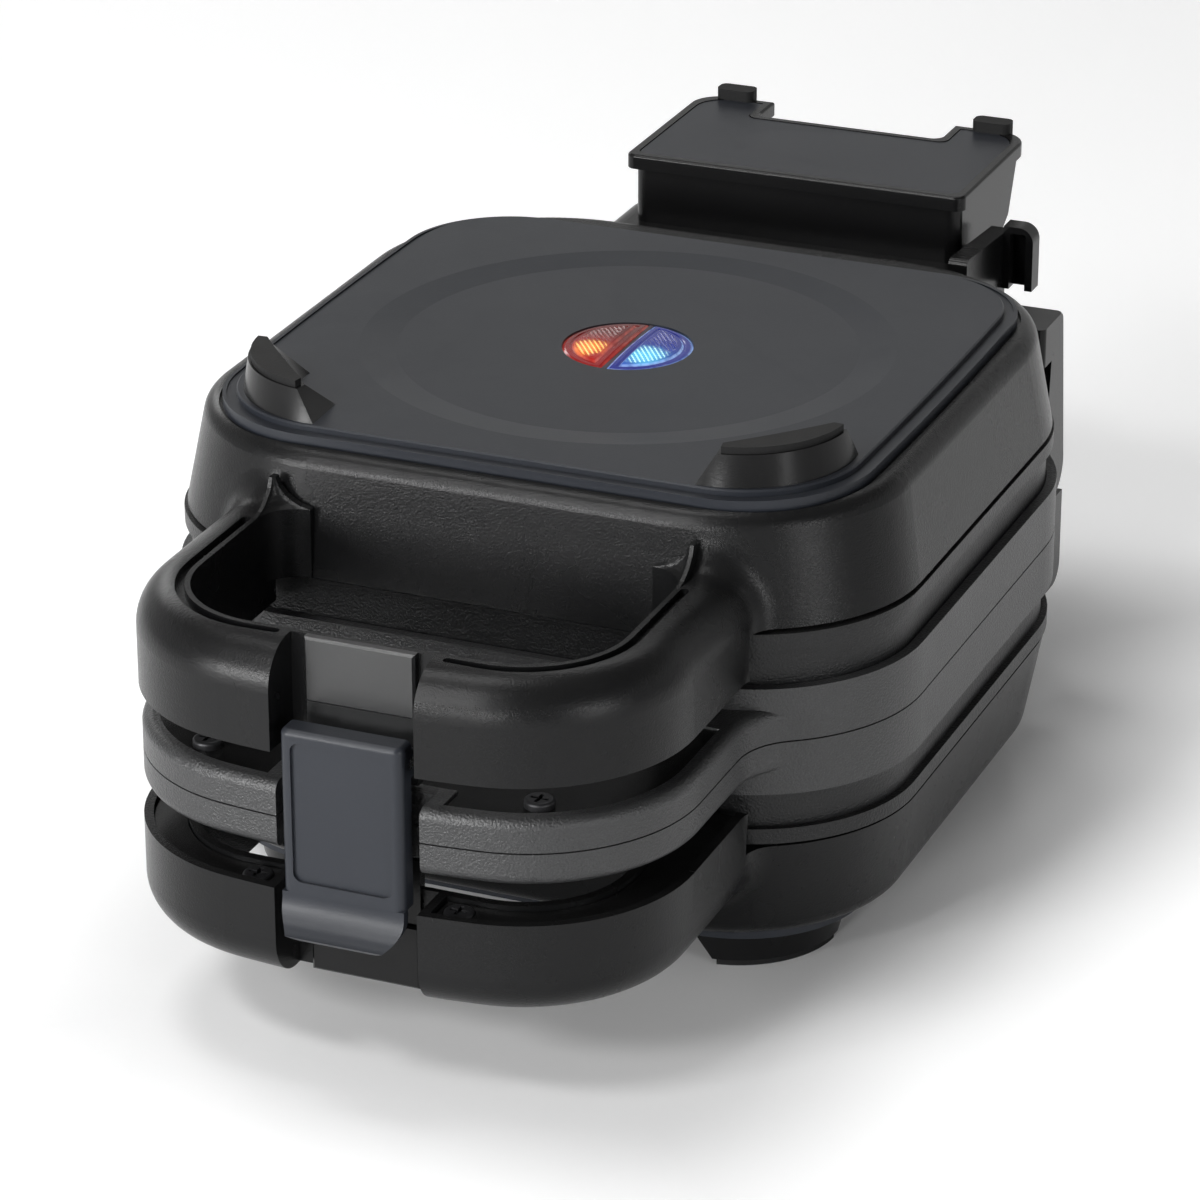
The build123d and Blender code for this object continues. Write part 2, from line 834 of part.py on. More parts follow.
def pie_plate(depth):
    """A cast pie plate: flange with crimp groove, round bowl, heater bed and corner posts."""
    flange_top = seam_relief + plate_flange
    floor = seam_relief + depth
    plate = raised(square_plan(plate_half, plate_corner_radius), seam_relief, flange_top)
    bowl_wall = [
        (0, 0),
        (pie_radius + plate_wall, 0),
        (pie_radius + plate_wall, flange_top),
        (pie_radius + plate_wall - pie_taper, floor + plate_wall),
        (0, floor + plate_wall),
    ]
    plate += turned(bowl_wall) & slab((-beyond, beyond), (-beyond, beyond), (seam_relief, beyond))
    bed = ring_of(heater_radius + heater_bed_half, heater_radius - heater_bed_half, floor + 1,
            heater_seat(depth))
    plate += bed
    cavity = turned([(0, 0), (pie_radius, 0), (pie_radius, seam_relief), (pie_radius - pie_taper, floor),
            (0, floor)])
    cavity = fillet(cavity.edges().filter_by(GeomType.CIRCLE).group_by(Axis.Z)[-1], pie_floor_radius)
    plate -= cavity
    plate -= ring_of(crimp_outer_radius, crimp_inner_radius, 0, seam_relief + crimp_depth)
    for x in (-plate_boss_place, plate_boss_place):
        for y in (-plate_boss_place, plate_boss_place):
            plate += post(x, y, plate_boss_radius, flange_top - 0.5, plate_boss_top)
    groove = Pos(0, 0, heater_seat(depth)) * Torus(heater_radius, heater_tube_radius + seat_gap)
    return plate - groove


def heater_seat(depth):
    """Height of the heater's centre line above the seam for a bowl of a given depth."""
    return seam_relief + depth + plate_wall + heater_bed_height


def turned(points):
    """Turn a closed outline of radius and height points about the upright axis."""
    outline = Polyline(*[(r, 0, z) for r, z in points], close=True)
    return revolve(make_face(outline), Axis.Z)


def ring_of(outer, inner, bottom, top):
    """A flat round ring between two heights."""
    return post(0, 0, outer, bottom, top) - post(0, 0, inner, bottom - 1, top + 1)


def tail_place():
    """Where the heater's ends turn upright, left and right of the rear."""
    half_gap = radians(90 - heater_gap_angle / 2)
    return heater_radius * cos(half_gap), heater_radius * sin(half_gap)


def heater(depth):
    """The tubular heater: a loop on the back of the plate with two upright cold ends."""
    level = heater_seat(depth)
    x, y = tail_place()
    loop = CenterArc((0, 0, 0), heater_radius, 90 + heater_gap_angle / 2, 360 - heater_gap_angle)
    tube = sweep(Plane(origin=loop @ 0, z_dir=loop % 0) * Circle(heater_tube_radius), path=loop)
    tube = Pos(0, 0, level) * tube
    for side in (-1, 1):
        tube += Pos(side * x, y, level) * Sphere(heater_tube_radius)
        tube += post(side * x, y, heater_tube_radius, level, level + heater_tail)
    return tube


def reflector(depth):
    """The sheet-metal tray that closes the heater in from behind."""
    floor = heater_seat(depth) + heater_tube_radius + reflector_air
    foot = plate_boss_top
    tray = raised(square_plan(reflector_half, reflector_corner_radius), foot, foot + reflector_sheet)
    outer = turned([(0, foot), (reflector_radius, foot), (reflector_radius - reflector_taper, floor),
            (0, floor)])
    outer = fillet(outer.edges().group_by(Axis.Z)[-1], reflector_bend)
    inner_radius = reflector_radius - reflector_sheet
    inner_floor = floor - reflector_sheet
    inner = turned([(0, 0), (inner_radius, 0), (inner_radius, foot),
            (inner_radius - reflector_taper, inner_floor), (0, inner_floor)])
    inner = fillet(inner.edges().group_by(Axis.Z)[-1], reflector_bend - reflector_sheet)
    tray = tray + outer - inner
    x, y = tail_place()
    for side in (-1, 1):
        tray -= post(side * x, y, tail_hole_radius, foot, floor + 1)
    return tray


def bowl_back(depth):
    """Height of the outside of a bowl's floor."""
    return seam_relief + depth + plate_wall


def thermostat():
    """The snap thermostat on the middle of the base plate's back."""
    back = bowl_back(base_pie_depth)
    disc = post(0, 0, thermostat_radius, back, back + thermostat_height)
    face = back + thermostat_height
    disc += post(0, 0, thermostat_radius - thermostat_step, face, face + thermostat_cap)
    for x in (-tab_x, tab_x):
        disc += slab((x - tab_half, x + tab_half), (-tab_width / 2, tab_width / 2),
                (face, face + tab_height))
    return disc


def thermal_fuse():
    """The thermal fuse lying on the middle of the lid plate's back under its clip."""
    back = bowl_back(lid_pie_depth)
    fuse = bar_x((-fuse_length / 2, fuse_length / 2), 0, back + fuse_radius, fuse_radius)
    across = (-clip_half_width, clip_half_width)
    clip = slab(across, (-clip_reach, clip_reach), (back, back + clip_sheet))
    clip += slab(across, (-fuse_radius - 1, fuse_radius + 1), (back, back + 2 * fuse_radius + clip_sheet))
    return fuse + clip


def lead(points, end_direction):
    """A flexible insulated lead that rises from its first point and arrives along a direction."""
    path = Spline(*points, tangents=((0, 0, 1), end_direction))
    return sweep(Plane(origin=path @ 0, z_dir=path % 0) * Circle(wire_radius), path=path)


def lid_leads():
    """Leads from the heater's ends up to the two lamps."""
    x, y = tail_place()
    top = heater_seat(lid_pie_depth) + heater_tail
    leads = []
    for side in (-1, 1):
        start = (side * x, y, top)
        sag = (side * (lamp_place + lead_bow), lead_sag_y, housing_floor - lead_sag)
        end = (side * lamp_place, 0, housing_floor - 2)
        leads.append(lead([start, sag, end], (0, 0, 1)))
    return Compound(leads)


def base_leads():
    """Leads from the heater's ends to the terminal block on the cover."""
    x, y = tail_place()
    top = heater_seat(base_pie_depth) + heater_tail
    leads = []
    for side in (-1, 1):
        start = (side * x, y, top)
        bend = (side * (x - lead_bow), y - 2 * lead_bow, top + lead_rise)
        end = (side * terminal_pitch, terminal_y - terminal_depth / 2, panel_underside - lead_rise)
        leads.append(lead([start, bend, end], (0, 1, 0)))
    return Compound(leads)


def side_profile(x_range, *parts):
    """Extrude a closed outline drawn in the side view (y, z) between two x limits."""
    low, high = x_range
    face = make_face(Plane.YZ * sum_curves(parts))
    return Pos(low, 0, 0) * extrude(face, amount=high - low, dir=(1, 0, 0))


def sum_curves(parts):
    """Join curves into one outline."""
    outline = parts[0]
    for part in parts[1:]:
        outline += part
    return outline


def side_polygon(x_range, points):
    """Extrude a polygon drawn in the side view (y, z) between two x limits."""
    return side_profile(x_range, Polyline(*points, close=True))


def bracket_block():
    """The central block in the notch: a proud upper face over a recessed one."""
    back = -notch_depth
    recess = back - bracket_skin
    proud = recess - bracket_proud
    block = slab((-bracket_half_width, bracket_half_width), (recess, back), (bracket_bottom, bracket_step))
    upper_half = slab((-bracket_half_width, bracket_half_width), (proud, back), (bracket_step, bracket_top))
    block += chamfer(upper_half.edges().group_by(Axis.Y)[0], bracket_edge)
    tail = (bracket_bottom, handle_skirt)
    block += slab((-bracket_half_width, bracket_half_width), (recess, -grip_front), tail)
    web_half = bracket_half_width - bracket_web_inset
    block += slab((-web_half, web_half), (recess + 0.2, -grip_front), (lobe_height, bracket_bottom + 2))
    return block


def latch_bracket():
    """The lid's bracket with two lugs for the latch pin."""
    bracket = bracket_block()
    for side in (-1, 1):
        x_range = sorted((side * lug_inner_x, side * lug_outer_x))
        middle = (x_range[0] + x_range[1]) / 2
        lug = bar_x(x_range, -latch_axis_y, latch_axis_z, lug_radius)
        reach = (-latch_axis_y, -notch_depth - bracket_skin)
        lug += slab(x_range, reach, (latch_axis_z - lug_radius, latch_axis_z + lug_arm_top))
        bracket += lug
        bracket += slab((middle - gusset_half, middle + gusset_half),
                (-gusset_front, -notch_depth - bracket_skin), gusset_range)
    return bracket - bar_x((-latch_half_width, latch_half_width), -latch_axis_y, latch_axis_z, pin_radius)


def latch_pin():
    """The steel pin the latch swings on."""
    return bar_x((-latch_half_width, latch_half_width), -latch_axis_y, latch_axis_z, pin_radius)


def latch_catch():
    """The base's block with the nose the latch hooks under."""
    block = bracket_block()
    recess = -notch_depth - bracket_skin
    nose = [
        (recess, nose_top + nose_web),
        (recess, lobe_height + fit_gap),
        (-carrier_notch_depth - fit_gap, lobe_height + fit_gap),
        (-carrier_notch_depth - fit_gap, nose_bottom),
        (-nose_front, nose_bottom),
        (-nose_front, nose_top - nose_lead),
        (-nose_front + nose_lead, nose_top),
    ]
    return block + side_polygon((-nose_half_width, nose_half_width), nose)


def latch():
    """The latch: a framed plate hung on the pin, with a hooked tooth and a curved finger lip."""
    inner = -latch_front + latch_plate
    wide = (-latch_half_width, latch_half_width)
    body = slab(wide, (-latch_front, inner), (-latch_frame_bottom, latch_top))
    body += slab(wide, (-latch_front, -latch_top_back), (latch_top - latch_top_wall, latch_top))
    for side in (-1, 1):
        x_range = sorted((side * (latch_half_width - latch_cheek), side * latch_half_width))
        body += slab(x_range, (-latch_front, -latch_flange_back), (-latch_frame_bottom, latch_top))
        body += slab(x_range, (-latch_front, -latch_axis_y), (latch_axis_z - eye_radius, latch_top))
        body += bar_x(x_range, -latch_axis_y, latch_axis_z, eye_radius)
    front_edges = body.edges().filter_by(Axis.Z).group_by(Axis.Y)[0]
    body = fillet(front_edges, latch_corner_radius)
    rim = body.edges().filter_by(Axis.X).group_by(Axis.Y)[0].sort_by(Axis.Z)[-1]
    body = fillet(rim, latch_rim_radius)
    body -= framed_recess()
    body += finger_lip()
    hook = [
        (inner - tooth_root, -tooth_bottom - 3 * tooth_root),
        (inner - tooth_root, -tooth_top),
        (-tooth_tip, -tooth_top),
        (-tooth_tip, -tooth_bottom + tooth_lead),
        (-tooth_tip - tooth_lead, -tooth_bottom),
    ]
    body += side_polygon((-nose_half_width + 1, nose_half_width - 1), hook)
    return body - bar_x(wide, -latch_axis_y, latch_axis_z, pin_radius + pin_clearance)


def framed_recess():
    """The shallow rounded field inside the latch's raised frame."""
    height = latch_top + latch_frame_bottom - 2 * latch_border
    width = 2 * (latch_half_width - latch_border)
    field = RectangleRounded(width, height, latch_corner_radius)
    middle = (latch_top - latch_frame_bottom) / 2
    plane = Plane(origin=(0, -latch_front, middle), x_dir=(1, 0, 0), z_dir=(0, 1, 0))
    return extrude(plane * field, amount=latch_border_height)


def finger_lip():
    """The finger lip: a curved tongue that runs out and down from the latch's lower edge."""
    front = -latch_front
    bend = ((front - lip_reach) / 2 + lip_sag, -(latch_frame_bottom + lip_bottom) / 2 - lip_drop)
    back_bend = (bend[0] + lip_thickness * lip_across, bend[1] - lip_thickness * lip_down)
    outline = [
        ThreePointArc((front, -latch_frame_bottom), bend, (-lip_reach, -lip_bottom + lip_edge)),
        Line((-lip_reach, -lip_bottom + lip_edge), (-lip_reach + lip_edge, -lip_bottom)),
        ThreePointArc(
            (-lip_reach + lip_edge, -lip_bottom),
            back_bend,
            (front + latch_plate, -latch_frame_bottom),
        ),
        Line((front + latch_plate, -latch_frame_bottom), (front, -latch_frame_bottom)),
    ]
    tongue = side_profile((-latch_half_width, latch_half_width), *outline)
    corner = RectangleRounded(2 * latch_half_width, lip_blank, lip_corner_radius)
    plane = Plane(origin=(0, -lip_reach - 1, -lip_bottom + lip_blank / 2), x_dir=(1, 0, 0), z_dir=(0, 1, 0))
    return tongue & extrude(plane * corner, amount=lip_blank)


def rear_of_body():
    """Everything of a half that a rear piece must stand clear of or seat against."""
    return body_block() + raised(body_plan(), -1, skirt_side + 1)


def lid_cheek():
    """The right-hand lid cheek: a thin plate that widens into a round knuckle."""
    x_range = (lid_cheek_inner, lid_cheek_outer)
    outline = [
        (cheek_front, cheek_top),
        (cheek_rear, cheek_top),
        (hinge_y + knuckle_radius, 0),
        (hinge_y - knuckle_radius, 0),
    ]
    side = side_polygon(x_range, outline)
    side = fillet(side.edges().filter_by(Axis.X).group_by(Axis.Z)[-1].sort_by(Axis.Y)[-1], cheek_round)
    bridge = slab((frame_half_width - 1, lid_cheek_outer), (frame_front, cheek_rear),
            (bridge_bottom, cheek_top))
    bridge -= slab((0, beyond), (0, cheek_front), (0, bridge_bottom))
    bridge = fillet(bridge.edges().filter_by(Axis.Z).sort_by(Axis.X)[-2:], bridge_corner)
    root = Plane.XZ * (Rectangle(bridge_round, bridge_round, align=(Align.MAX, Align.MAX)))
    root -= Plane.XZ * (Pos(-bridge_round, -bridge_round) * Circle(bridge_round))
    root = Pos(lid_cheek_inner, cheek_rear, bridge_bottom) * extrude(root, amount=cheek_rear - cheek_front)
    return side + bar_x(x_range, hinge_y, 0, knuckle_radius) + bridge + root


def hinge_frame():
    """The lid's rear frame: platform, bridges and two hinge cheeks."""
    frame = slab((-frame_half_width, frame_half_width), (frame_front, frame_rear),
            (frame_bottom, frame_top))
    frame = fillet(frame.edges().filter_by(Axis.Y).group_by(Axis.Z)[-1], frame_round)
    frame = fillet(frame.edges().filter_by(Axis.Z).group_by(Axis.Y)[-1], frame_corner)
    frame += both_sides(lid_cheek()) + hook_rib()
    inner = frame_half_width - frame_wall
    frame -= slab((-inner, inner), (body_rear + frame_front_wall, frame_rear - frame_wall),
            (0, frame_top - frame_wall))
    for x in (-frame_rib_x, 0, frame_rib_x):
        frame += slab((x - 1, x + 1), (body_rear + 2, frame_rear - 2), (frame_bottom + 2, frame_top - 2))
    frame -= rear_of_body()
    pin_end = lid_cheek_outer - lid_cheek_cap
    return frame - bar_x((-pin_end, pin_end), hinge_y, 0, hinge_pin_radius + pin_clearance)


def hinge_bracket(side):
    """A base hinge bracket: an inner knuckle over a thicker foot on the body's rear corner."""
    foot = slab(
        (base_cheek_inner, lid_cheek_outer),
        (base_cheek_front, base_cheek_rear),
        (base_cheek_step, base_cheek_bottom),
    )
    foot = fillet(foot.edges().filter_by(Axis.X).group_by(Axis.Z)[-1].sort_by(Axis.Y)[-1], base_cheek_round)
    arm = slab(
        (base_cheek_inner, base_cheek_outer),
        (base_cheek_front, hinge_y + knuckle_radius),
        (0, base_cheek_bottom - base_cheek_drop),
    )
    arm -= slab((0, beyond), (0, hinge_y - knuckle_radius), (0, seam_relief))
    bracket = foot + arm + bar_x((base_cheek_inner, base_cheek_outer), hinge_y, 0, knuckle_radius)
    bracket -= rear_of_body()
    bracket -= bar_x((0, base_cheek_outer), hinge_y, 0, hinge_pin_radius)
    bracket -= slab((0, base_cheek_inner), (0, beyond), (-beyond, beyond))
    return bracket if side > 0 else mirror(bracket, about=Plane.YZ)


def hook_rib():
    """The raised rib on the frame's right end that carries the cable hook."""
    outline = [
        (hook_rib_front, frame_top - frame_round),
        (hook_rib_front, hook_rib_high),
        (frame_rear, hook_rib_low),
        (frame_rear, frame_top - frame_round),
    ]
    rib = side_polygon((frame_half_width - hook_rib_width, frame_half_width), outline)
    crest = rib.edges().filter_by(GeomType.LINE).group_by(Axis.Z)[-1].sort_by(Axis.X)[-1]
    return fillet(crest, hook_rib_round)


def cord_hook():
    """The cable hook at the right: a channel open to the front and below, closed behind."""
    low = frame_half_width
    high = low + hook_width
    hook = slab((low, high), (frame_rear - hook_depth, frame_rear), (hook_bottom, hook_top))
    hook = fillet(hook.edges().filter_by(Axis.Y).group_by(Axis.Z)[-1].sort_by(Axis.X)[-1], hook_round)
    slot_low = low + hook_wall
    slot_depth = (frame_rear - hook_depth - 1, frame_rear - hook_back)
    hook -= slab((slot_low, slot_low + hook_slot), slot_depth, (hook_bottom - 1, hook_top - hook_wall))
    return hook


def rear_box():
    """The glossy box behind the lid, open at the top under its cover."""
    outline = [
        (box_front, frame_top),
        (box_front, box_top),
        (box_rear_top, box_top),
        (box_rear_bottom, frame_top),
        (box_toe_y, box_toe_z),
        (frame_rear, box_toe_z),
        (frame_rear, frame_top),
    ]
    box = side_polygon((-box_half_width, box_half_width), outline)
    box = fillet(box.edges().filter_by(Axis.Z), box_edge_radius)
    inside = slab(
        (-box_half_width + box_wall, box_half_width - box_wall),
        (box_front + box_wall, box_rear_bottom - box_wall),
        (frame_top + box_wall, box_top + 1),
    )
    return box - inside


def cover_outline(inset=0.0):
    """Plan of the rear cover with its two prongs."""
    half_width = cover_half_width - inset
    front = cover_front + inset
    plan = Pos(0, (front + prong_rear - inset) / 2) * Rectangle(2 * half_width, prong_rear - front - inset)
    plan = fillet(plan.vertices().group_by(Axis.Y)[0], cover_front_radius)
    plan = fillet(plan.vertices().filter_by(lambda v: v.Y > cover_rear), cover_corner_radius)
    between = Pos(0, (cover_rear - inset + beyond) / 2) * Rectangle(
        prong_inner_x + prong_root_x + 2 * inset, beyond - cover_rear + inset
    )
    plan -= fillet(between.vertices().group_by(Axis.Y)[0], cover_front_radius)
    return plan


def rear_box_cover():
    """The cover over the rear box, with a raised glossy rim and seats for the rubber nubs."""
    cover = raised(cover_outline(), box_top, cover_top)
    cover = fillet(cover.edges().group_by(Axis.Z)[-1], cover_edge)
    cover -= raised(cover_outline(cover_rim), cover_top - inlay_thickness, cover_top + 1)
    return cover - nub_block()


def rear_box_inlay():
    """The slate plate let into the cover."""
    inlay = raised(cover_outline(cover_rim + inlay_gap), cover_top - inlay_thickness, cover_top - inlay_gap)
    return inlay - nub_block()


def nub_block():
    """The two rubber nubs the open lid comes to rest on."""
    middle = (nub_inner_x + nub_outer_x) / 2
    plan = RectangleRounded(nub_outer_x - nub_inner_x, nub_rear - nub_front, nub_radius)
    nub = raised(Pos(middle, (nub_front + nub_rear) / 2) * plan, nub_bottom, panel_top + foot_height)
    return both_sides(nub)


def base_stand():
    """The base's rear housing, which holds the mains connections and carries the rear feet."""
    stand = slab((-frame_half_width, frame_half_width), (frame_front, stand_rear), (stand_top, panel_top))
    stand = fillet(stand.edges().filter_by(Axis.X).group_by(Axis.Y)[-1], stand_round)
    stand = fillet(stand.edges().filter_by(Axis.Z).group_by(Axis.Y)[-1], stand_corner)
    inner = frame_half_width - stand_wall
    stand -= slab((-inner, inner), (body_rear + frame_front_wall, stand_rear - stand_wall),
            (stand_top + stand_wall, panel_top - stand_wall))
    for side in (-1, 1):
        stand += post(side * stand_foot_x, stand_foot_y, stand_foot_radius, panel_top - 1,
                panel_top + stand_pad)
    stand -= rear_of_body()
    stand -= bar_x((frame_half_width - stand_corner, frame_half_width + 1), gland_y, gland_z,
            gland_bore_radius + 1)
    return stand


def rear_feet():
    """The two rubber feet under the rear housing."""
    feet = []
    low = panel_top + stand_pad
    height = foot_height - stand_pad
    for side in (-1, 1):
        foot = Cone(stand_foot_radius, stand_foot_top_radius, height)
        feet.append(Pos(side * stand_foot_x, stand_foot_y, low + height / 2) * foot)
    return Compound(feet)


def hinge_pins():
    """The two headed hinge pins, driven into the base's cheeks."""
    pin = bar_x((base_cheek_inner, lid_cheek_outer - lid_cheek_cap - fit_gap), hinge_y, 0, hinge_pin_radius)
    pin += bar_x((base_cheek_inner - hinge_head, base_cheek_inner), hinge_y, 0, hinge_head_radius)
    return Compound([pin, mirror(pin, about=Plane.YZ)])


def cord_gland():
    """The ribbed cable gland on the side of the rear housing."""
    inside = frame_half_width - stand_wall
    outside = frame_half_width + gland_length
    gland = bar_x((inside, outside), gland_y, gland_z, gland_bore_radius + 1)
    for step in range(gland_steps):
        x = frame_half_width + step * gland_pitch
        gland += bar_x((x, x + gland_rib_width), gland_y, gland_z, gland_radius - step * gland_rib)
    return gland - bar_x((inside - 1, outside + 1), gland_y, gland_z, gland_bore_radius)


def terminal_block():
    """The terminal block on the inside of the base cover."""
    half_width = terminal_width / 2
    y_range = (terminal_y - terminal_depth / 2, terminal_y + terminal_depth / 2)
    block = slab((-half_width, half_width), y_range, (panel_underside - terminal_height, panel_underside))
    for x in (-terminal_pitch, 0, terminal_pitch):
        block -= post(x, terminal_y, terminal_hole_radius, 0,
                panel_underside - terminal_height + terminal_hole_depth)
    return block


def handle_liner():
    """The plate that closes the underside of the handle, set just inside the skirt."""
    gap = wall + fit_gap
    plan = handle_plan(handle_half_width, handle_front, gap) - grip_plan(gap)
    plan &= Pos(0, -skirt_step_y - beyond / 2) * Rectangle(beyond, beyond)
    plan -= Pos(0, -notch_depth) * Rectangle(2 * (notch_half_width + gap), liner_notch_length)
    liner = raised(plan, liner_bottom, liner_top)
    for hole in spread(liner_places, post(0, 0, screw_shank_radius, 0, liner_top + 1)):
        liner -= hole
    for hole in spread(liner_places, post(0, 0, screw_head_radius + head_clearance, 0,
            liner_bottom + liner_seat)):
        liner -= hole
    return liner


shell = whole_shell()
ring = carrier()
shell_band = band()
liner = handle_liner()
deck_piece = deck()
screws = half_screws()

pieces = {
    "lid_shell": upper(shell),
    "lid_handle_liner": upper(liner),
    "lid_panel": upper(lid_panel()),
    "lid_foot_left": upper(arc_foot(-1)),
    "lid_foot_right": upper(arc_foot(1)),
    "lid_foot_pads": upper(foot_pads()),
    "indicator_housing": upper(indicator_housing()),
    "heating_lens": upper(lens(-1)),
    "ready_lens": upper(lens(1)),
    "indicator_lamps": upper(lamps()),
    "lid_band": upper(shell_band),
    "lid_carrier": upper(ring),
    "lid_deck_plate": upper(deck_piece),
    "lid_pie_plate": upper(pie_plate(lid_pie_depth)),
    "lid_heater": upper(heater(lid_pie_depth)),
    "lid_reflector": upper(reflector(lid_pie_depth)),
    "thermal_fuse": upper(thermal_fuse()),
    "lid_wiring": upper(lid_leads()),
    "lid_screws": upper(screws),
    "latch_bracket": upper(latch_bracket()),
    "latch_pin": upper(latch_pin()),
    "latch": upper(latch()),
    "hinge_frame": upper(hinge_frame()),
    "cord_hook": upper(cord_hook()),
    "rear_box": upper(rear_box()),
    "rear_box_cover": upper(rear_box_cover()),
    "rear_box_inlay": upper(rear_box_inlay()),
    "rear_box_nubs": upper(nub_block()),
    "base_shell": lower(shell),
    "base_handle_liner": lower(liner),
    "base_bottom_cover": lower(bottom_cover()),
    "base_foot_left": lower(arc_foot(-1)),
    "base_foot_right": lower(arc_foot(1)),
    "base_foot_pads": lower(foot_pads()),
    "base_band": lower(shell_band),
    "base_carrier": lower(ring),
    "base_deck_plate": lower(deck_piece),
    "base_pie_plate": lower(pie_plate(base_pie_depth)),
    "base_heater": lower(heater(base_pie_depth)),
    "base_reflector": lower(reflector(base_pie_depth)),
    "thermostat": lower(thermostat()),
    "base_wiring": lower(base_leads()),
    "base_screws": lower(screws),
    "latch_catch": lower(latch_catch()),
    "base_stand": lower(base_stand()),
    "base_hinge_left": lower(hinge_bracket(-1)),
    "base_hinge_right": lower(hinge_bracket(1)),
    "hinge_pins": lower(hinge_pins()),
    "base_rear_feet": lower(rear_feet()),
    "cord_gland": lower(cord_gland()),
    "terminal_block": lower(terminal_block()),
}

os.makedirs("parts", exist_ok=True)
for node, piece in pieces.items():
    export_step(piece, f"parts/{node}.step")
    print(node, len(piece.solids()), round(piece.volume))
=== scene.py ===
import json
import math

import bpy
from mathutils import Matrix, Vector
import numpy as np


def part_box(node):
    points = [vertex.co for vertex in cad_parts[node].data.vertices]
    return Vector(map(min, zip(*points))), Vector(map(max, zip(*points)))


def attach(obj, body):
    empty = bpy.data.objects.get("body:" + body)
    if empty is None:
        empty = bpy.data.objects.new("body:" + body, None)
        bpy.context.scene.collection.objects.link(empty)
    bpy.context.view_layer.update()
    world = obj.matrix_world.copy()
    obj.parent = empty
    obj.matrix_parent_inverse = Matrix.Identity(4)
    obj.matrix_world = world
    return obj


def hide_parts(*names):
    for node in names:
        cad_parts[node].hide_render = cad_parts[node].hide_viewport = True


# A pie maker with a hinged lid, a front latch and a rear box, seen on a pale sweep.
# Metres, Z up, the worktop at z = 0, the front towards -Y.

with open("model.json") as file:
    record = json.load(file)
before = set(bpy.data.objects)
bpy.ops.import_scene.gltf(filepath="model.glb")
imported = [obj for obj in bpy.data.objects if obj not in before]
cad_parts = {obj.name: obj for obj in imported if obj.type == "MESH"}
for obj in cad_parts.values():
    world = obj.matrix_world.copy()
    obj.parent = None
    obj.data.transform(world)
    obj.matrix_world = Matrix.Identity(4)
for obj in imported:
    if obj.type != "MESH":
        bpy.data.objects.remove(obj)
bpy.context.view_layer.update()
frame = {"nodes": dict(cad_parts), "record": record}
nodes = frame["nodes"]
print("stage: frame loaded,", len(nodes), "pieces")

scene = bpy.context.scene
scene.view_settings.view_transform = "Standard"


# Small tools for building shader trees

def newGroup(name, inputs, outputs):
    # inputs are (name, kind, value), outputs are (name, kind)
    tree = bpy.data.node_groups.new(name, "ShaderNodeTree")
    for label, kind, value in inputs:
        socket = tree.interface.new_socket(name=label, in_out="INPUT", socket_type="NodeSocket" + kind)
        if value is not None:
            socket.default_value = value
    for label, kind in outputs:
        tree.interface.new_socket(name=label, in_out="OUTPUT", socket_type="NodeSocket" + kind)
    return tree, tree.nodes.new("NodeGroupInput").outputs, tree.nodes.new("NodeGroupOutput").inputs


def put(tree, target, value):
    # links a socket, or sets a plain value
    if isinstance(value, bpy.types.NodeSocket):
        tree.links.new(value, target)
    elif value is not None:
        target.default_value = value


def maths(tree, operation, a, b=None, c=None, clamp=False):
    node = tree.nodes.new("ShaderNodeMath")
    node.operation, node.use_clamp = operation, clamp
    for socket, value in zip(node.inputs, (a, b, c)):
        put(tree, socket, value)
    return node.outputs[0]


def noise(tree, vector, scale, detail=2.0, roughness=0.5, distortion=0.0):
    node = tree.nodes.new("ShaderNodeTexNoise")
    put(tree, node.inputs["Vector"], vector)
    put(tree, node.inputs["Scale"], scale)
    node.inputs["Detail"].default_value = detail
    node.inputs["Roughness"].default_value = roughness
    node.inputs["Distortion"].default_value = distortion
    return node.outputs["Fac"]


def ramp(tree, value, low, high, outLow=0.0, outHigh=1.0, smooth=True):
    node = tree.nodes.new("ShaderNodeMapRange")
    node.interpolation_type = "SMOOTHSTEP" if smooth else "LINEAR"
    for socket, number in zip(node.inputs[:5], (value, low, high, outLow, outHigh)):
        put(tree, socket, number)
    return node.outputs[0]


def mixColour(tree, factor, a, b, blend="MIX"):
    node = tree.nodes.new("ShaderNodeMix")
    node.data_type, node.blend_type = "RGBA", blend
    put(tree, node.inputs["Factor"], factor)
    put(tree, node.inputs[6], a)
    put(tree, node.inputs[7], b)
    return node.outputs[2]


def place(tree, group, **values):
    # sets a group in a material, with its own values
    node = tree.nodes.new("ShaderNodeGroup")
    node.node_tree = group
    for label, value in values.items():
        put(tree, node.inputs[label], value)
    return node.outputs


# Effects that several finishes share

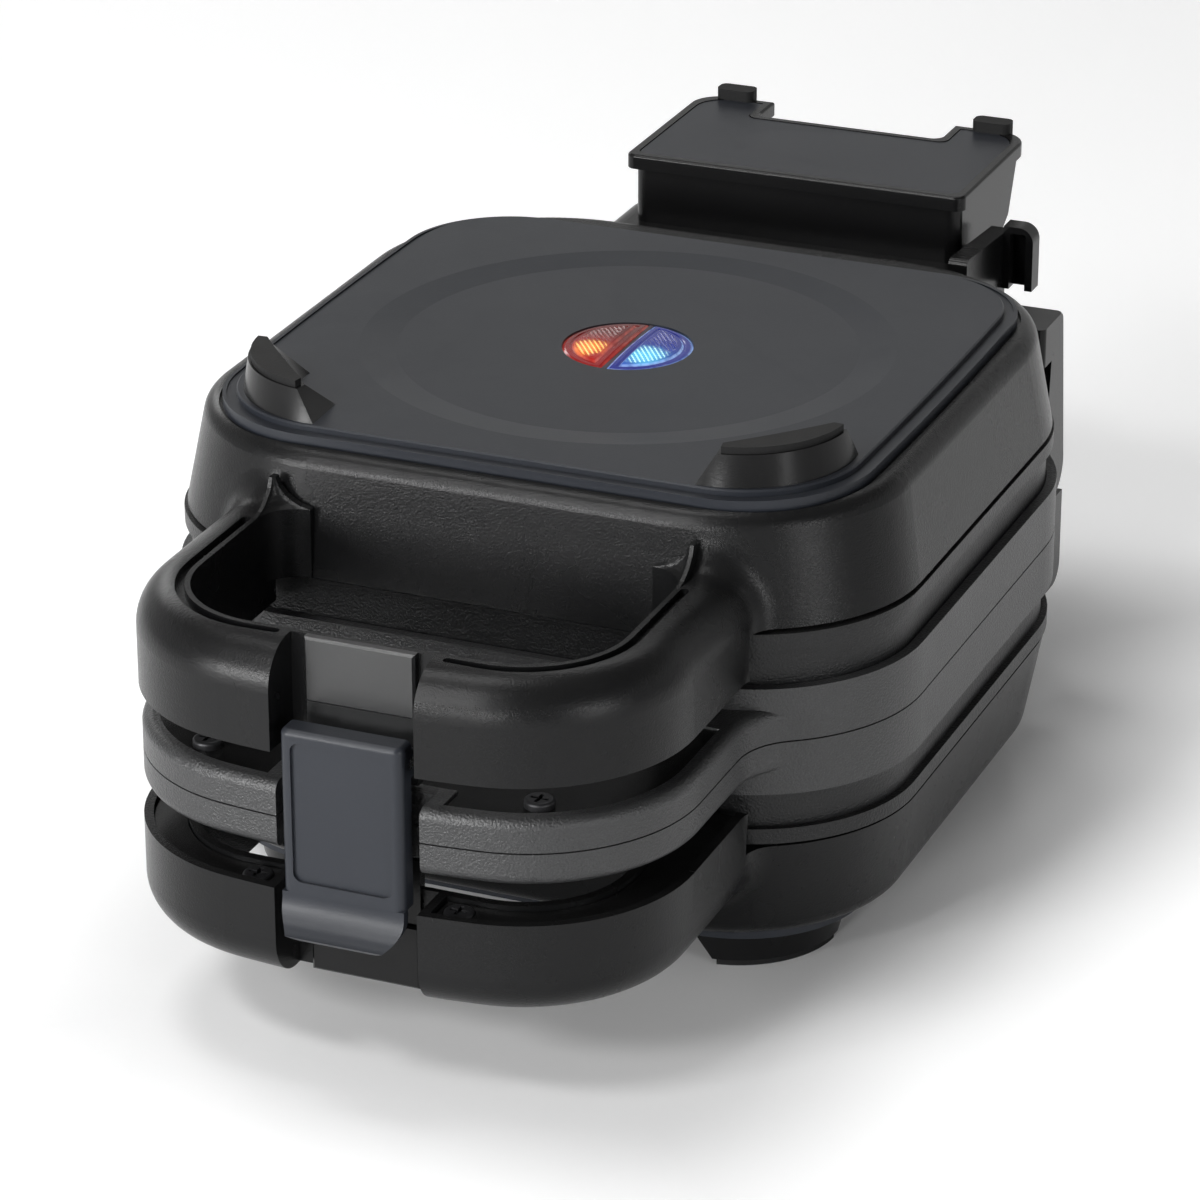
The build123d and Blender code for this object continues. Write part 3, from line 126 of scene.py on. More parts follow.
def makeTonePatches():
    # colour: the tone, brighter or darker by soft patches and by fine specks
    tree, given, out = newGroup("tone patches", [
        ("Vector", "Vector", None), ("Tone", "Color", (0.5, 0.5, 0.5, 1)), ("Patch", "Float", 0.2),
        ("Patch Scale", "Float", 20.0), ("Speck", "Float", 0.2), ("Speck Scale", "Float", 2500.0)],
        [("Color", "Color"), ("Mask", "Float")])
    soft = noise(tree, given["Vector"], given["Patch Scale"], 3.0, 0.55, 0.4)
    fine = noise(tree, given["Vector"], given["Speck Scale"], 1.0, 0.6)
    softPart = maths(tree, "MULTIPLY", maths(tree, "SUBTRACT", soft, 0.5), given["Patch"])
    finePart = maths(tree, "MULTIPLY", maths(tree, "SUBTRACT", fine, 0.5), given["Speck"])
    gain = maths(tree, "ADD", maths(tree, "ADD", softPart, finePart), 1.0)
    grey = tree.nodes.new("ShaderNodeCombineColor")
    for socket in grey.inputs[:3]:
        tree.links.new(gain, socket)
    put(tree, out["Color"], mixColour(tree, 1.0, given["Tone"], grey.outputs[0], "MULTIPLY"))
    put(tree, out["Mask"], soft)
    return tree


def makeMouldGrain():
    # height: a spark-eroded mould's grain, from rounded cells to fine noise
    tree, given, out = newGroup("mould grain", [
        ("Vector", "Vector", None), ("Scale", "Float", 1500.0), ("Coarse", "Float", 0.5)],
        [("Height", "Float")])
    cells = tree.nodes.new("ShaderNodeTexVoronoi")
    cells.feature = "SMOOTH_F1"
    put(tree, cells.inputs["Vector"], given["Vector"])
    put(tree, cells.inputs["Scale"], maths(tree, "MULTIPLY", given["Scale"], 0.8))
    fine = noise(tree, given["Vector"], given["Scale"], 2.0, 0.65)
    mix = tree.nodes.new("ShaderNodeMix")
    put(tree, mix.inputs[0], given["Coarse"])
    put(tree, mix.inputs[2], fine)
    put(tree, mix.inputs[3], cells.outputs["Distance"])
    put(tree, out["Height"], mix.outputs[0])
    return tree


def makeHandling():
    # roughness: the written value, uneven in patches, with fine rubbed lines and finger smears
    tree, given, out = newGroup("handling marks", [
        ("Vector", "Vector", None), ("Rough", "Float", 0.4), ("Uneven", "Float", 0.1), ("Rubbed", "Float", 0.1),
        ("Smear", "Float", 0.05)],
        [("Roughness", "Float"), ("Rub", "Float")])
    patch = noise(tree, given["Vector"], 34.0, 4.0, 0.6, 0.3)
    uneven = maths(tree, "MULTIPLY", maths(tree, "SUBTRACT", patch, 0.5), given["Uneven"])
    stretch = tree.nodes.new("ShaderNodeMapping")
    put(tree, stretch.inputs["Vector"], given["Vector"])
    stretch.inputs["Rotation"].default_value = (0.3, 0.2, 0.7)
    stretch.inputs["Scale"].default_value = (18.0, 620.0, 300.0)
    lines = noise(tree, stretch.outputs[0], 1.0, 1.0, 0.5)
    where = ramp(tree, noise(tree, given["Vector"], 12.0, 2.0), 0.52, 0.68)
    rub = maths(tree, "MULTIPLY", ramp(tree, lines, 0.66, 0.74), where)
    rubPart = maths(tree, "MULTIPLY", rub, given["Rubbed"])
    smear = ramp(tree, noise(tree, given["Vector"], 22.0, 2.0, 0.5, 1.4), 0.55, 0.72)
    smearPart = maths(tree, "MULTIPLY", smear, given["Smear"])
    total = maths(tree, "ADD", maths(tree, "ADD", given["Rough"], uneven), maths(tree, "ADD", rubPart, smearPart))
    put(tree, out["Roughness"], maths(tree, "MAXIMUM", total, 0.04))
    put(tree, out["Rub"], rub)
    return tree


def makeDust():
    # colour: a little pale dust on what faces up, thicker in patches
    tree, given, out = newGroup("settled dust", [
        ("Vector", "Vector", None), ("Color", "Color", (0, 0, 0, 1)), ("Dust", "Float", 0.03)],
        [("Color", "Color")])
    normal = tree.nodes.new("ShaderNodeNewGeometry").outputs["Normal"]
    split = tree.nodes.new("ShaderNodeSeparateXYZ")
    put(tree, split.inputs[0], normal)
    up = ramp(tree, split.outputs["Z"], 0.2, 1.0)
    patch = noise(tree, given["Vector"], 60.0, 5.0, 0.7)
    amount = maths(tree, "MULTIPLY", maths(tree, "MULTIPLY", up, patch), given["Dust"])
    put(tree, out["Color"], mixColour(tree, amount, given["Color"], (0.55, 0.53, 0.5, 1)))
    return tree


tonePatches = makeTonePatches()
mouldGrain = makeMouldGrain()
handling = makeHandling()
settledDust = makeDust()


def startMaterial(name):
    material = bpy.data.materials.new(name)
    material.use_nodes = True
    tree = material.node_tree
    shader = next(n for n in tree.nodes if n.type == "BSDF_PRINCIPLED")
    where = tree.nodes.new("ShaderNodeTexCoord").outputs["Object"]
    return material, tree, shader, where


def raise_(tree, shader, height, distance, strength=1.0):
    bump = tree.nodes.new("ShaderNodeBump")
    bump.inputs["Distance"].default_value = distance
    bump.inputs["Strength"].default_value = strength
    put(tree, bump.inputs["Height"], height)
    put(tree, shader.inputs["Normal"], bump.outputs[0])
    return bump


def moulded(name, s):
    # a moulded plastic or rubber: toned patches, grain, handling marks and dust
    material, tree, shader, where = startMaterial(name)
    tone = place(tree, tonePatches, **{"Vector": where, "Tone": (*s["tone"], 1), "Patch": s["patch"],
                                       "Speck": s["speck"], "Speck Scale": s["grain"] * 1.4})
    dusty = place(tree, settledDust, Vector=where, Color=tone["Color"], Dust=s["dust"])
    marks = place(tree, handling, Vector=where, Rough=s["rough"], Uneven=s["uneven"], Rubbed=s["rubbed"],
                  Smear=s["smear"])
    grain = place(tree, mouldGrain, Vector=where, Scale=s["grain"], Coarse=s["coarse"])
    put(tree, shader.inputs["Base Color"], dusty["Color"])
    put(tree, shader.inputs["Roughness"], marks["Roughness"])
    raise_(tree, shader, grain["Height"], s["depth"])
    shader.inputs["Specular IOR Level"].default_value = s["gloss"]
    shader.inputs["Metallic"].default_value = 0.0
    return material


plastics = {
    "shell_plastic": dict(tone=(0.0052, 0.0053, 0.0056), patch=0.25, speck=0.5, rough=0.27, uneven=0.035, rubbed=0.03,
                          smear=0.008, grain=2300.0, coarse=0.3, depth=0.00011, dust=0.012, gloss=0.2),
    "liner_plastic": dict(tone=(0.006, 0.006, 0.0062), patch=0.2, speck=0.2, rough=0.2, uneven=0.05, rubbed=0.05,
                          smear=0.05, grain=2600.0, coarse=0.2, depth=0.00003, dust=0.01, gloss=0.3),
    "carrier_plastic": dict(tone=(0.022, 0.0224, 0.0232), patch=0.3, speck=1.6, rough=0.36, uneven=0.07, rubbed=0.06,
                            smear=0.02, grain=2000.0, coarse=0.45, depth=0.00032, dust=0.02, gloss=0.5),
    "band_plastic": dict(tone=(0.006, 0.0062, 0.0066), patch=0.3, speck=1.6, rough=0.34, uneven=0.07, rubbed=0.05,
                         smear=0.02, grain=2000.0, coarse=0.45, depth=0.0003, dust=0.02, gloss=0.3),
    "slate_plastic": dict(tone=(0.017, 0.0192, 0.0245), patch=0.12, speck=0.16, rough=0.36, uneven=0.05, rubbed=0.05,
                          smear=0.03, grain=2600.0, coarse=0.3, depth=0.00004, dust=0.02, gloss=0.26),
    "gloss_plastic": dict(tone=(0.005, 0.005, 0.0052), patch=0.2, speck=0.2, rough=0.24, uneven=0.05, rubbed=0.07,
                          smear=0.05, grain=1200.0, coarse=0.2, depth=0.000025, dust=0.015, gloss=0.2),
    "pad_rubber": dict(tone=(0.008, 0.008, 0.0082), patch=0.3, speck=0.5, rough=0.68, uneven=0.08, rubbed=0.06,
                       smear=0.03, grain=1800.0, coarse=0.6, depth=0.00008, dust=0.04, gloss=0.2),
    # a lighter, glossier copy of the neighbours' plastic for the latch bracket: painted sheen, not a colour of its own
    "bracket_sheen_plastic": dict(tone=(0.016, 0.0164, 0.0168), patch=0.15, speck=0.2, rough=0.3, uneven=0.05, rubbed=0.06,
                            smear=0.04, grain=1800.0, coarse=0.2, depth=0.00003, dust=0.01, gloss=0.6),
    "housing_plastic": dict(tone=(0.035, 0.02, 0.035), patch=0.1, speck=0.1, rough=0.5, uneven=0.05, rubbed=0.05,
                            smear=0.02, grain=1500.0, coarse=0.3, depth=0.00004, dust=0.03, gloss=0.5),
}
finishes = {slot: moulded(slot, s) for slot, s in plastics.items()}


def brushed(name, s):
    # bare or coated metal: drawn lines along one way, stains and a toned body
    material, tree, shader, where = startMaterial(name)
    along = tree.nodes.new("ShaderNodeMapping")
    put(tree, along.inputs["Vector"], where)
    along.inputs["Scale"].default_value = s["stretch"]
    drawn = noise(tree, along.outputs[0], 1.0, 3.0, 0.6)
    tone = place(tree, tonePatches, **{"Vector": where, "Tone": (*s["tone"], 1), "Patch": s["patch"], "Speck": s["speck"],
                                       "Patch Scale": 45.0, "Speck Scale": 1800.0})
    stain = ramp(tree, noise(tree, where, 30.0, 4.0, 0.65, 0.5), 0.55, 0.75, 0.0, s["stain"])
    marks = place(tree, handling, Vector=where, Rough=s["rough"], Uneven=s["uneven"], Rubbed=0.1, Smear=0.05)
    put(tree, shader.inputs["Base Color"], mixColour(tree, stain, tone["Color"], (*s["stainTone"], 1)))
    put(tree, shader.inputs["Roughness"], maths(tree, "ADD", marks["Roughness"], maths(tree, "MULTIPLY", drawn, s["drawn"])))
    raise_(tree, shader, drawn, s["depth"])
    shader.inputs["Metallic"].default_value = s["metal"]
    return material


metals = {
    "plate_coating": dict(tone=(0.035, 0.035, 0.037), patch=0.3, speck=0.7, rough=0.36, uneven=0.1, drawn=0.03,
                          stain=0.25, stainTone=(0.05, 0.04, 0.03), stretch=(900.0, 900.0, 900.0), depth=0.00004, metal=0.0),
    "heater_steel": dict(tone=(0.3, 0.28, 0.26), patch=0.3, speck=0.2, rough=0.35, uneven=0.15, drawn=0.1,
                         stain=0.6, stainTone=(0.16, 0.11, 0.08), stretch=(900.0, 900.0, 900.0), depth=0.00002, metal=1.0),
    "sheet_aluminium": dict(tone=(0.72, 0.73, 0.74), patch=0.1, speck=0.1, rough=0.28, uneven=0.1, drawn=0.1,
                            stain=0.2, stainTone=(0.5, 0.48, 0.45), stretch=(1500.0, 30.0, 300.0), depth=0.00001, metal=1.0),
    "thermo_metal": dict(tone=(0.6, 0.6, 0.6), patch=0.1, speck=0.1, rough=0.3, uneven=0.1, drawn=0.08,
                         stain=0.2, stainTone=(0.4, 0.37, 0.33), stretch=(600.0, 600.0, 600.0), depth=0.00001, metal=1.0),
    "screw_steel": dict(tone=(0.028, 0.028, 0.03), patch=0.3, speck=0.4, rough=0.38, uneven=0.15, drawn=0.08,
                        stain=0.3, stainTone=(0.1, 0.1, 0.1), stretch=(900.0, 900.0, 900.0), depth=0.00001, metal=0.6),
    "pin_steel": dict(tone=(0.6, 0.61, 0.62), patch=0.1, speck=0.1, rough=0.22, uneven=0.08, drawn=0.1,
                      stain=0.15, stainTone=(0.4, 0.38, 0.36), stretch=(20.0, 900.0, 900.0), depth=0.00001, metal=1.0),
}
finishes.update({slot: brushed(slot, s) for slot, s in metals.items()})


def sleeveFinish():
    # woven glass sleeve: two crossed waves of strands, with painted shade in the hollows between them
    material, tree, shader, where = startMaterial("lead_sleeve")
    heights = []
    for turn in (0.7, -0.7):
        spin = tree.nodes.new("ShaderNodeMapping")
        put(tree, spin.inputs["Vector"], where)
        spin.inputs["Rotation"].default_value = (turn, turn, turn)
        wave = tree.nodes.new("ShaderNodeTexWave")
        put(tree, wave.inputs["Vector"], spin.outputs[0])
        wave.inputs["Scale"].default_value = 420.0
        wave.inputs["Distortion"].default_value = 0.6
        heights.append(wave.outputs["Fac"])
    weave = maths(tree, "MAXIMUM", heights[0], heights[1])
    tone = place(tree, tonePatches, **{"Vector": where, "Tone": (0.55, 0.52, 0.44, 1), "Patch": 0.25, "Speck": 0.2,
                                       "Speck Scale": 1500.0})
    # painted shade: the colour darkens where the weave is low, between the strands
    hollowShade = ramp(tree, weave, 0.35, 0.75, 0.55, 1.0)
    grey = tree.nodes.new("ShaderNodeCombineColor")
    for socket in grey.inputs[:3]:
        tree.links.new(hollowShade, socket)
    put(tree, shader.inputs["Base Color"], mixColour(tree, 1.0, tone["Color"], grey.outputs[0], "MULTIPLY"))
    marks = place(tree, handling, Vector=where, Rough=0.7, Uneven=0.1, Rubbed=0.0, Smear=0.0)
    put(tree, shader.inputs["Roughness"], marks["Roughness"])
    raise_(tree, shader, weave, 0.00012)
    return material


finishes["lead_sleeve"] = sleeveFinish()


slant = math.radians(54)  # how far the rows of prisms turn from the lenses' straight edge


def makeLensMarks():
    # masks of a half-round lens: its window, the painted highlight lines of its rim and window edge, and the rows of
    # small prisms.
    # The gap to the nearer edge is the smaller of |x| - Inner and Reach - r.
    tree, given, out = newGroup("lens marks", [
        ("Vector", "Vector", None), ("Inner", "Float", 0.0005), ("Reach", "Float", 0.017), ("Inset", "Float", 0.0026),
        ("Pitch", "Float", 0.00118)],
        [("Window", "Float"), ("Line", "Float"), ("Rim Highlight", "Float"), ("Dots", "Float"), ("Front", "Float")])
    split = tree.nodes.new("ShaderNodeSeparateXYZ")
    put(tree, split.inputs[0], given["Vector"])
    x, y = split.outputs["X"], split.outputs["Y"]
    radius = maths(tree, "SQRT", maths(tree, "ADD", maths(tree, "MULTIPLY", x, x), maths(tree, "MULTIPLY", y, y)))
    gap = maths(tree, "MINIMUM", maths(tree, "SUBTRACT", maths(tree, "ABSOLUTE", x), given["Inner"]),
                maths(tree, "SUBTRACT", given["Reach"], radius))
    past = maths(tree, "SUBTRACT", gap, given["Inset"])
    put(tree, out["Window"], ramp(tree, past, -0.0001, 0.0005))
    put(tree, out["Line"], ramp(tree, maths(tree, "ABSOLUTE", maths(tree, "SUBTRACT", past, 0.0002)), 0.00042, 0.00008))
    put(tree, out["Rim Highlight"], ramp(tree, gap, 0.0009, 0.0002))
    put(tree, out["Front"], ramp(tree, y, 0.006, -0.012))
    waves = []
    for across, back in ((math.sin(slant), math.cos(slant)), (math.cos(slant), -math.sin(slant))):
        along = maths(tree, "ADD", maths(tree, "MULTIPLY", x, across), maths(tree, "MULTIPLY", y, back))
        turn = maths(tree, "DIVIDE", maths(tree, "MULTIPLY", along, 2 * math.pi), given["Pitch"])
        waves.append(maths(tree, "COSINE", turn))
    stripes = ramp(tree, maths(tree, "ADD", waves[0], maths(tree, "MULTIPLY", waves[1], 0.3)), 0.1, 0.7)
    put(tree, out["Dots"], maths(tree, "MULTIPLY", stripes, ramp(tree, past, 0.0006, 0.0012)))
    return tree


lensMarks = makeLensMarks()


def lensFinish(name, s):
    # a tinted moulded lens over a lamp: deep at the back, brighter in front, lit prisms where the lamp stands, a
    # painted pool of the lamp's light in its base colour and painted highlight lines on its edges
    material, tree, shader, where = startMaterial(name)
    low, high = (np.array(corner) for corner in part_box(s["node"]))
    marks = place(tree, lensMarks, Vector=where, Inner=float(min(abs(low[0]), abs(high[0]))), Reach=float(high[1]))
    spot = tree.nodes.new("ShaderNodeVectorMath")
    spot.operation = "DISTANCE"
    put(tree, spot.inputs[0], where)
    spot.inputs[1].default_value = s["lamp"]
    ripple = noise(tree, where, 300.0, 3.0, 0.6)
    away = maths(tree, "ADD", spot.outputs["Value"], maths(tree, "MULTIPLY", maths(tree, "SUBTRACT", ripple, 0.5), 0.004))
    lit = maths(tree, "MULTIPLY", ramp(tree, away, s["litRadius"], 0.001), marks["Window"])
    tone = place(tree, tonePatches, **{"Vector": where, "Tone": (*s["deep"], 1), "Patch": 0.5, "Patch Scale": 220.0,
                                       "Speck": 0.2, "Speck Scale": 1400.0})
    # painted light: the base colour turns lighter where the lamp stands, a pool of its light
    put(tree, shader.inputs["Base Color"], mixColour(tree, lit, tone["Color"], (*s["paintedLampPool"], 1)))
    glow = mixColour(tree, marks["Front"], (*s["backGlow"], 1), (*s["frontGlow"], 1))
    glow = mixColour(tree, maths(tree, "MULTIPLY", marks["Window"], marks["Front"]), glow, (*s["windowGlow"], 1))
    glow = mixColour(tree, lit, glow, (*s["litGlow"], 1))
    glow = mixColour(tree, maths(tree, "MULTIPLY", marks["Dots"], ramp(tree, lit, 0.02, 0.4)), glow, (*s["dotGlow"], 1))
    # painted highlight: pale emissive lines along the rim and window edge stand in for reflections on the bevels
    edge = maths(tree, "MAXIMUM", maths(tree, "MULTIPLY", marks["Line"], s["line"]), maths(tree, "MULTIPLY", marks["Rim Highlight"], s["rim"]))
    edge = maths(tree, "MULTIPLY", edge, ramp(tree, noise(tree, where, 500.0, 2.0, 0.5), 0.3, 0.62, 0.35, 1.0))
    glow = mixColour(tree, edge, glow, (*s["edgeHighlight"], 1))
    put(tree, shader.inputs["Emission Color"], glow)
    shader.inputs["Emission Strength"].default_value = 1.0
    worn = place(tree, handling, Vector=where, Rough=0.1, Uneven=0.03, Rubbed=0.05, Smear=0.03)
    put(tree, shader.inputs["Roughness"], worn["Roughness"])
    shader.inputs["Transmission Weight"].default_value = s["clear"]
    shader.inputs["Specular IOR Level"].default_value = 0.09
    shader.inputs["IOR"].default_value = 1.49
    return material


lenses = {
    "red_lens": dict(node="heating_lens", lamp=(-0.0085, -0.0065, 0.1325), litRadius=0.0068, deep=(0.1, 0.004, 0.003),
                     paintedLampPool=(0.6, 0.2, 0.03), backGlow=(0.03, 0.0008, 0.0006), frontGlow=(0.16, 0.002, 0.005),
                     windowGlow=(0.3, 0.004, 0.003), litGlow=(0.4, 0.05, 0.003), dotGlow=(0.95, 0.6, 0.16),
                     edgeHighlight=(0.8, 0.16, 0.12), line=0.35, rim=0.25, clear=0.06),
    "blue_lens": dict(node="ready_lens", lamp=(0.0078, -0.0065, 0.1325), litRadius=0.0078, deep=(0.012, 0.014, 0.12),
                      paintedLampPool=(0.1, 0.4, 0.55), backGlow=(0.01, 0.016, 0.12), frontGlow=(0.014, 0.02, 0.13),
                      windowGlow=(0.02, 0.1, 0.36), litGlow=(0.015, 0.2, 0.4), dotGlow=(0.5, 0.85, 0.8),
                      edgeHighlight=(0.3, 0.46, 0.78), line=0.85, rim=0.7, clear=0.06),
}
finishes.update({slot: lensFinish(slot, s) for slot, s in lenses.items()})


def lampGlassFinish():
    material, tree, shader, where = startMaterial("lamp_glass")
    tone = place(tree, tonePatches, **{"Vector": where, "Tone": (0.9, 0.55, 0.3, 1), "Patch": 0.2, "Speck": 0.1})
    put(tree, shader.inputs["Base Color"], tone["Color"])
    marks = place(tree, handling, Vector=where, Rough=0.05, Uneven=0.03, Rubbed=0.03, Smear=0.03)
    put(tree, shader.inputs["Roughness"], marks["Roughness"])
    shader.inputs["Transmission Weight"].default_value = 0.5
    return material


finishes["lamp_glass"] = lampGlassFinish()
print("stage: finishes made,", len(finishes))

slotOf = {part["node"]: part["material_slot"] for part in frame["record"]["subparts"]}
ownFinish = {"latch_bracket": "bracket_sheen_plastic"}  # the same plastic as its neighbours, made lighter and glossier: a painted sheen for the light its front catches
for name, piece in nodes.items():
    slot = ownFinish.get(name, slotOf[name])
    piece.data.materials.clear()
    piece.data.materials.append(finishes[slot])


def closedSheet(name, top, low):
    # a closed block between a grid of points on top and the same grid below: top, underside and the wall round both
    rows, cols = top.shape[:2]
    i, j = np.meshgrid(np.arange(rows - 1), np.arange(cols - 1), indexing="ij")
    a = (i * cols + j).ravel()
    quads = np.stack([a, a + 1, a + cols + 1, a + cols], -1)
    rim = np.concatenate([np.arange(cols), np.arange(1, rows) * cols + cols - 1,
                          (rows - 1) * cols + np.arange(cols - 2, -1, -1), np.arange(rows - 2, 0, -1) * cols])
    after = np.roll(rim, -1)
    below = rows * cols
    faces = np.concatenate([quads, quads[:, ::-1] + below, np.stack([after, rim, rim + below, after + below], -1)])
    points = np.concatenate([top.reshape(-1, 3), low.reshape(-1, 3)])
    mesh = bpy.data.meshes.new(name)
    mesh.from_pydata(points.tolist(), [], faces.tolist())
    mesh.update()
    piece = bpy.data.objects.new(name, mesh)
    scene.collection.objects.link(piece)
    return piece


def lensPiece(name, node, side, s):
    # Half a disc: each row runs from the straight edge to the round edge. The top is a shallow dome with a rim step,
    # a raised window and a field of small four-sided prisms; edgeGap is how far a point is from the nearer edge.
    low, high = (np.array(corner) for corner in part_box(node))
    radius = (high[1] - low[1]) / 2
    reach = max(abs(low[0]), abs(high[0]))
    inner = min(abs(low[0]), abs(high[0]))
    v = np.linspace(-0.992, 0.992, s["rows"])[:, None]
    u = np.linspace(0, 1, s["cols"])[None, :]
    half = math.sqrt(reach ** 2 - inner ** 2)
    angle = v * math.acos(inner / reach)
    x = inner + (reach * np.cos(angle) - inner) * u
    y = v * half * (1 - u) + reach * np.sin(angle) * u
    r = np.hypot(x, y)
    edgeGap = np.minimum(x - inner, reach - r)

    def step(start, width):
        t = np.clip((edgeGap - start) / width, 0, 1)
        return t * t * (3 - 2 * t)

    dome = -(r ** 2) / (2 * s["domeRadius"])
    window = step(s["windowInset"], s["windowSlope"])
    bevel = -s["edgeDrop"] * (1 - step(0.0, s["edgeRound"]))
    groove = -s["grooveDepth"] * step(s["windowInset"] - s["grooveWidth"], 0.0004) * (1 - window)
    across = side * x * math.sin(slant) + y * math.cos(slant)
    along = side * x * math.cos(slant) - y * math.sin(slant)
    cell = np.abs(((np.stack(np.broadcast_arrays(across, along), -1) / s["prismPitch"]) % 1.0) - 0.5) * 2
    prism = (1 - np.maximum(cell[..., 0], cell[..., 1])) * s["prismHeight"] * step(s["windowInset"] + s["prismMargin"], 0.0006)
    raisedPart = window * s["windowRise"] + prism
    z = dome + bevel + groove + raisedPart
    z = z - z.max() + high[2]
    top = np.stack([side * x, y, z], -1)
    bottom = np.stack(np.broadcast_arrays(side * x, y, low[2] + 0 * z), -1)
    if side > 0:
        top, bottom = top[:, ::-1], bottom[:, ::-1]
    piece = closedSheet(name, top, bottom)
    piece.data.materials.append(finishes["red_lens" if side < 0 else "blue_lens"])
    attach(piece, "lid")
    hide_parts(node)
    return piece


lensShape = dict(rows=230, cols=110, domeRadius=0.19, windowInset=0.0026, windowSlope=0.0007, windowRise=0.00045,
                 edgeDrop=0.0004, edgeRound=0.0009, grooveDepth=0.00025, grooveWidth=0.0008, prismPitch=0.00118,
                 prismHeight=0.0002, prismMargin=0.0012)
lensPiece("heatingLensMoulded", "heating_lens", -1, lensShape)
lensPiece("readyLensMoulded", "ready_lens", 1, lensShape)
print("stage: lenses moulded")


def sweep():
    # a surface of revolution: flat out to the bend, then a quarter turn up to a wall
    s = dict(flat=3.2, bend=0.9, wall=1.6, around=96, rings=24)
    turn = np.linspace(0, math.pi / 2, s["rings"])
    radius = np.concatenate([[0.001, 0.5, 1.5], s["flat"] + s["bend"] * np.sin(turn), [s["flat"] + s["bend"]]])
    height = np.concatenate([[0, 0, 0], s["bend"] * (1 - np.cos(turn)), [s["bend"] + s["wall"]]])
    angle = np.linspace(0, 2 * math.pi, s["around"], endpoint=False)
    points = np.stack([np.outer(radius, np.cos(angle)), np.outer(radius, np.sin(angle)),
                       np.repeat(height[:, None], s["around"], 1)], -1).reshape(-1, 3)
    rows, cols = len(radius), s["around"]
    i, j = np.meshgrid(np.arange(rows - 1), np.arange(cols), indexing="ij")
    a = i * cols + j
    b = i * cols + (j + 1) % cols
    faces = np.stack([a, b, b + cols, a + cols], -1).reshape(-1, 4)[:, ::-1]
    mesh = bpy.data.meshes.new("sweep")
    mesh.from_pydata(points.tolist(), [], faces.tolist() + [list(range(cols))])
    mesh.polygons.foreach_set("use_smooth", [True] * len(mesh.polygons))
    floor = bpy.data.objects.new("sweep", mesh)
    scene.collection.objects.link(floor)
    return floor


floor = sweep()
floorFinish, tree, shader, where = startMaterial("pale_sweep")
tone = place(tree, tonePatches, **{"Vector": where, "Tone": (0.93, 0.93, 0.93, 1), "Patch": 0.01, "Patch Scale": 1.5,
                                   "Speck": 0.01, "Speck Scale": 400.0})
put(tree, shader.inputs["Base Color"], tone["Color"])
shader.inputs["Roughness"].default_value = 0.7
shader.inputs["Specular IOR Level"].default_value = 0.2
# the white behind the object: a part of it is the floor's own, for the eye, for mirrors and for glass,
# and it fades out under the object as a painted shadow; the object stands in a box of |x| < 0.085 and |y + 0.01| <
# 0.165
rays = tree.nodes.new("ShaderNodeLightPath").outputs
seen = maths(tree, "MAXIMUM", rays["Is Camera Ray"], maths(tree, "MAXIMUM", rays["Is Glossy Ray"], rays["Is Transmission Ray"]))
shader.inputs["Emission Color"].default_value = (1, 1, 1, 1)
split = tree.nodes.new("ShaderNodeSeparateXYZ")
put(tree, split.inputs[0], where)
beside = maths(tree, "SUBTRACT", maths(tree, "ABSOLUTE", split.outputs["X"]), 0.085)
ahead = maths(tree, "SUBTRACT", maths(tree, "ABSOLUTE", maths(tree, "ADD", split.outputs["Y"], 0.01)), 0.165)
# painted shadow: the floor's glow fades in from 2 cm inside the object's box to full strength 9 cm outside it
beyondPaintedShadow = ramp(tree, maths(tree, "MAXIMUM", beside, ahead), -0.02, 0.09)
put(tree, shader.inputs["Emission Strength"], maths(tree, "MULTIPLY", maths(tree, "MULTIPLY", seen, beyondPaintedShadow), 0.28))
floor.data.materials.append(floorFinish)


# Lights: soft boxes, each aimed at the pie maker's middle

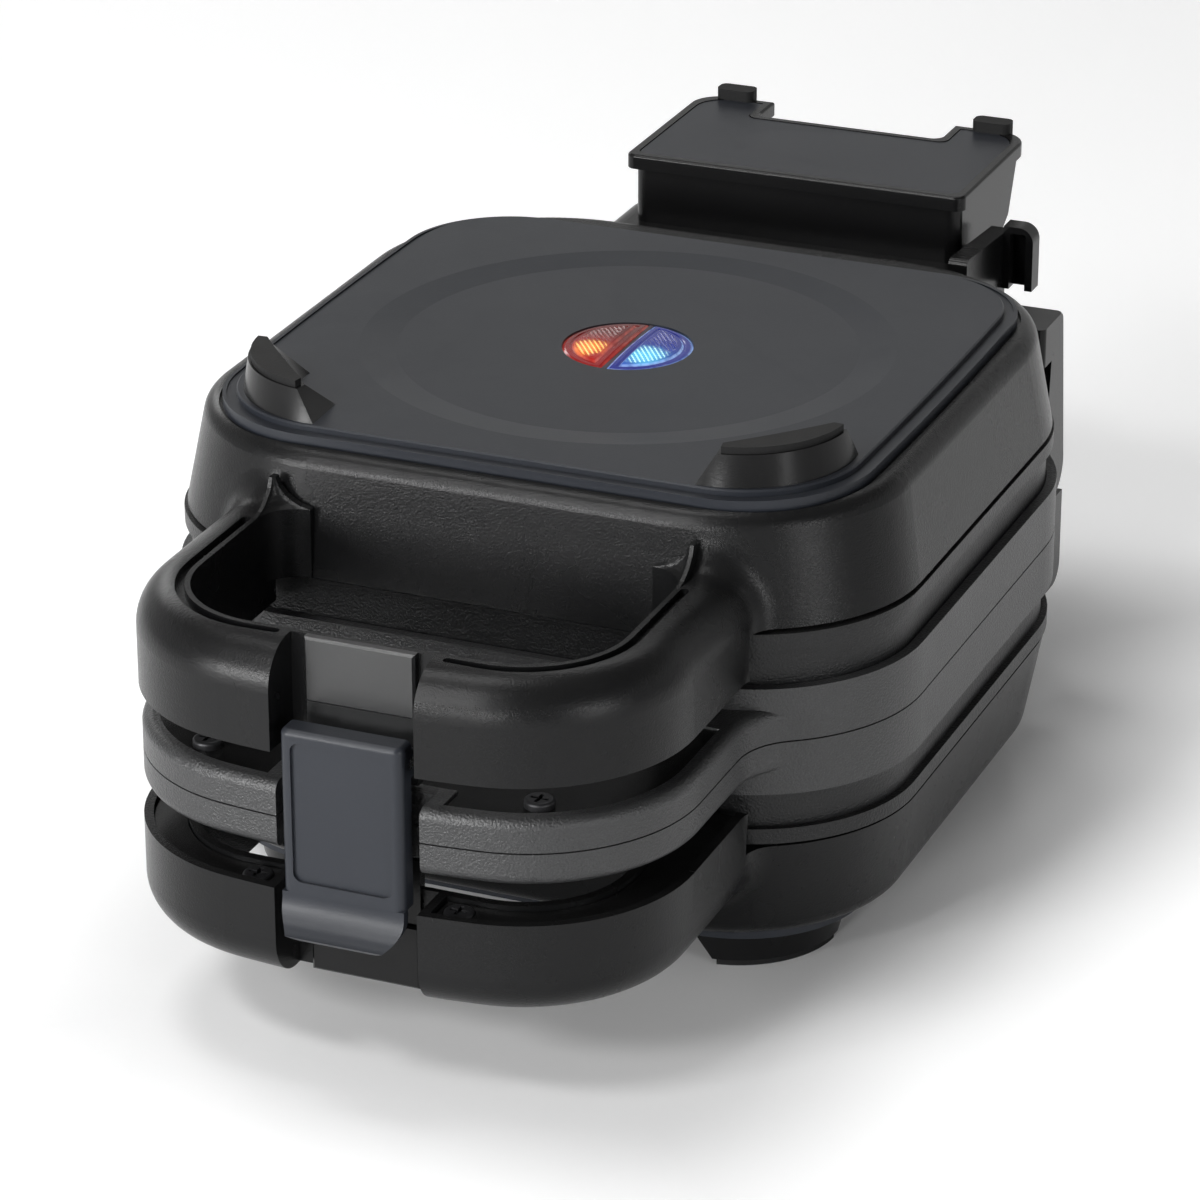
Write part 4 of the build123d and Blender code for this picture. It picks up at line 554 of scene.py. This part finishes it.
def softBox(name, at, size, power, aim=(0, -0.03, 0.08), tint=(1, 1, 1)):
    data = bpy.data.lights.new(name, "AREA")
    data.shape, data.size, data.size_y = "RECTANGLE", size[0], size[1]
    data.energy, data.color = power, tint
    lamp = bpy.data.objects.new(name, data)
    scene.collection.objects.link(lamp)
    away = np.array(at) - np.array(aim)
    away = away / np.linalg.norm(away)
    side = np.cross((0, 0, 1), away)
    side = side / np.linalg.norm(side)
    frameAxes = np.eye(4)
    frameAxes[:3, :] = np.stack([side, np.cross(away, side), away, np.array(at)], 1)
    lamp.matrix_world = Matrix(frameAxes.tolist())
    lamp.visible_camera = False
    return lamp


lights = {
    "front left low": dict(at=(-0.84, -1.46, 0.32), size=(0.3, 0.4), power=18.0),
    "front low": dict(at=(0.0, -1.68, 0.32), size=(0.25, 0.3), power=7.0),
    "front left high": dict(at=(-0.38, -1.42, 0.93), size=(0.4, 0.25), power=8.0),
    "front left top": dict(at=(-0.45, -1.05, 1.4), size=(0.5, 0.22), power=8.0),
    "overhead left": dict(at=(-0.5, 0.0, 1.9), size=(0.6, 0.6), power=8.5),
    "overhead back": dict(at=(-0.2, 1.1, 1.5), size=(0.6, 0.25), power=3.0),
    "back left": dict(at=(-1.15, 0.98, 0.7), size=(0.4, 0.4), power=2.0),
    "right strip": dict(at=(1.45, -0.75, 0.35), size=(0.14, 0.5), power=5.0),
}
for name, s in lights.items():
    softBox(name, **s)
world = bpy.data.worlds.new("studio")
world.use_nodes = True
world.node_tree.nodes["Background"].inputs["Color"].default_value = (1, 1, 1, 1)
world.node_tree.nodes["Background"].inputs["Strength"].default_value = 0.08
scene.world = world

# Camera: a long lens from the front right, a little above
cameraData = bpy.data.cameras.new("camera")
cameraData.lens, cameraData.sensor_width = 149.84, 36.0
cameraData.clip_end = 30.0
camera = bpy.data.objects.new("camera", cameraData)
scene.collection.objects.link(camera)
camera.location = (0.464136, -1.133191, 0.603475)
camera.rotation_euler = [math.radians(a) for a in (66.026595, 0.094923, 22.578028)]
scene.camera = camera
print("stage: camera and lights")
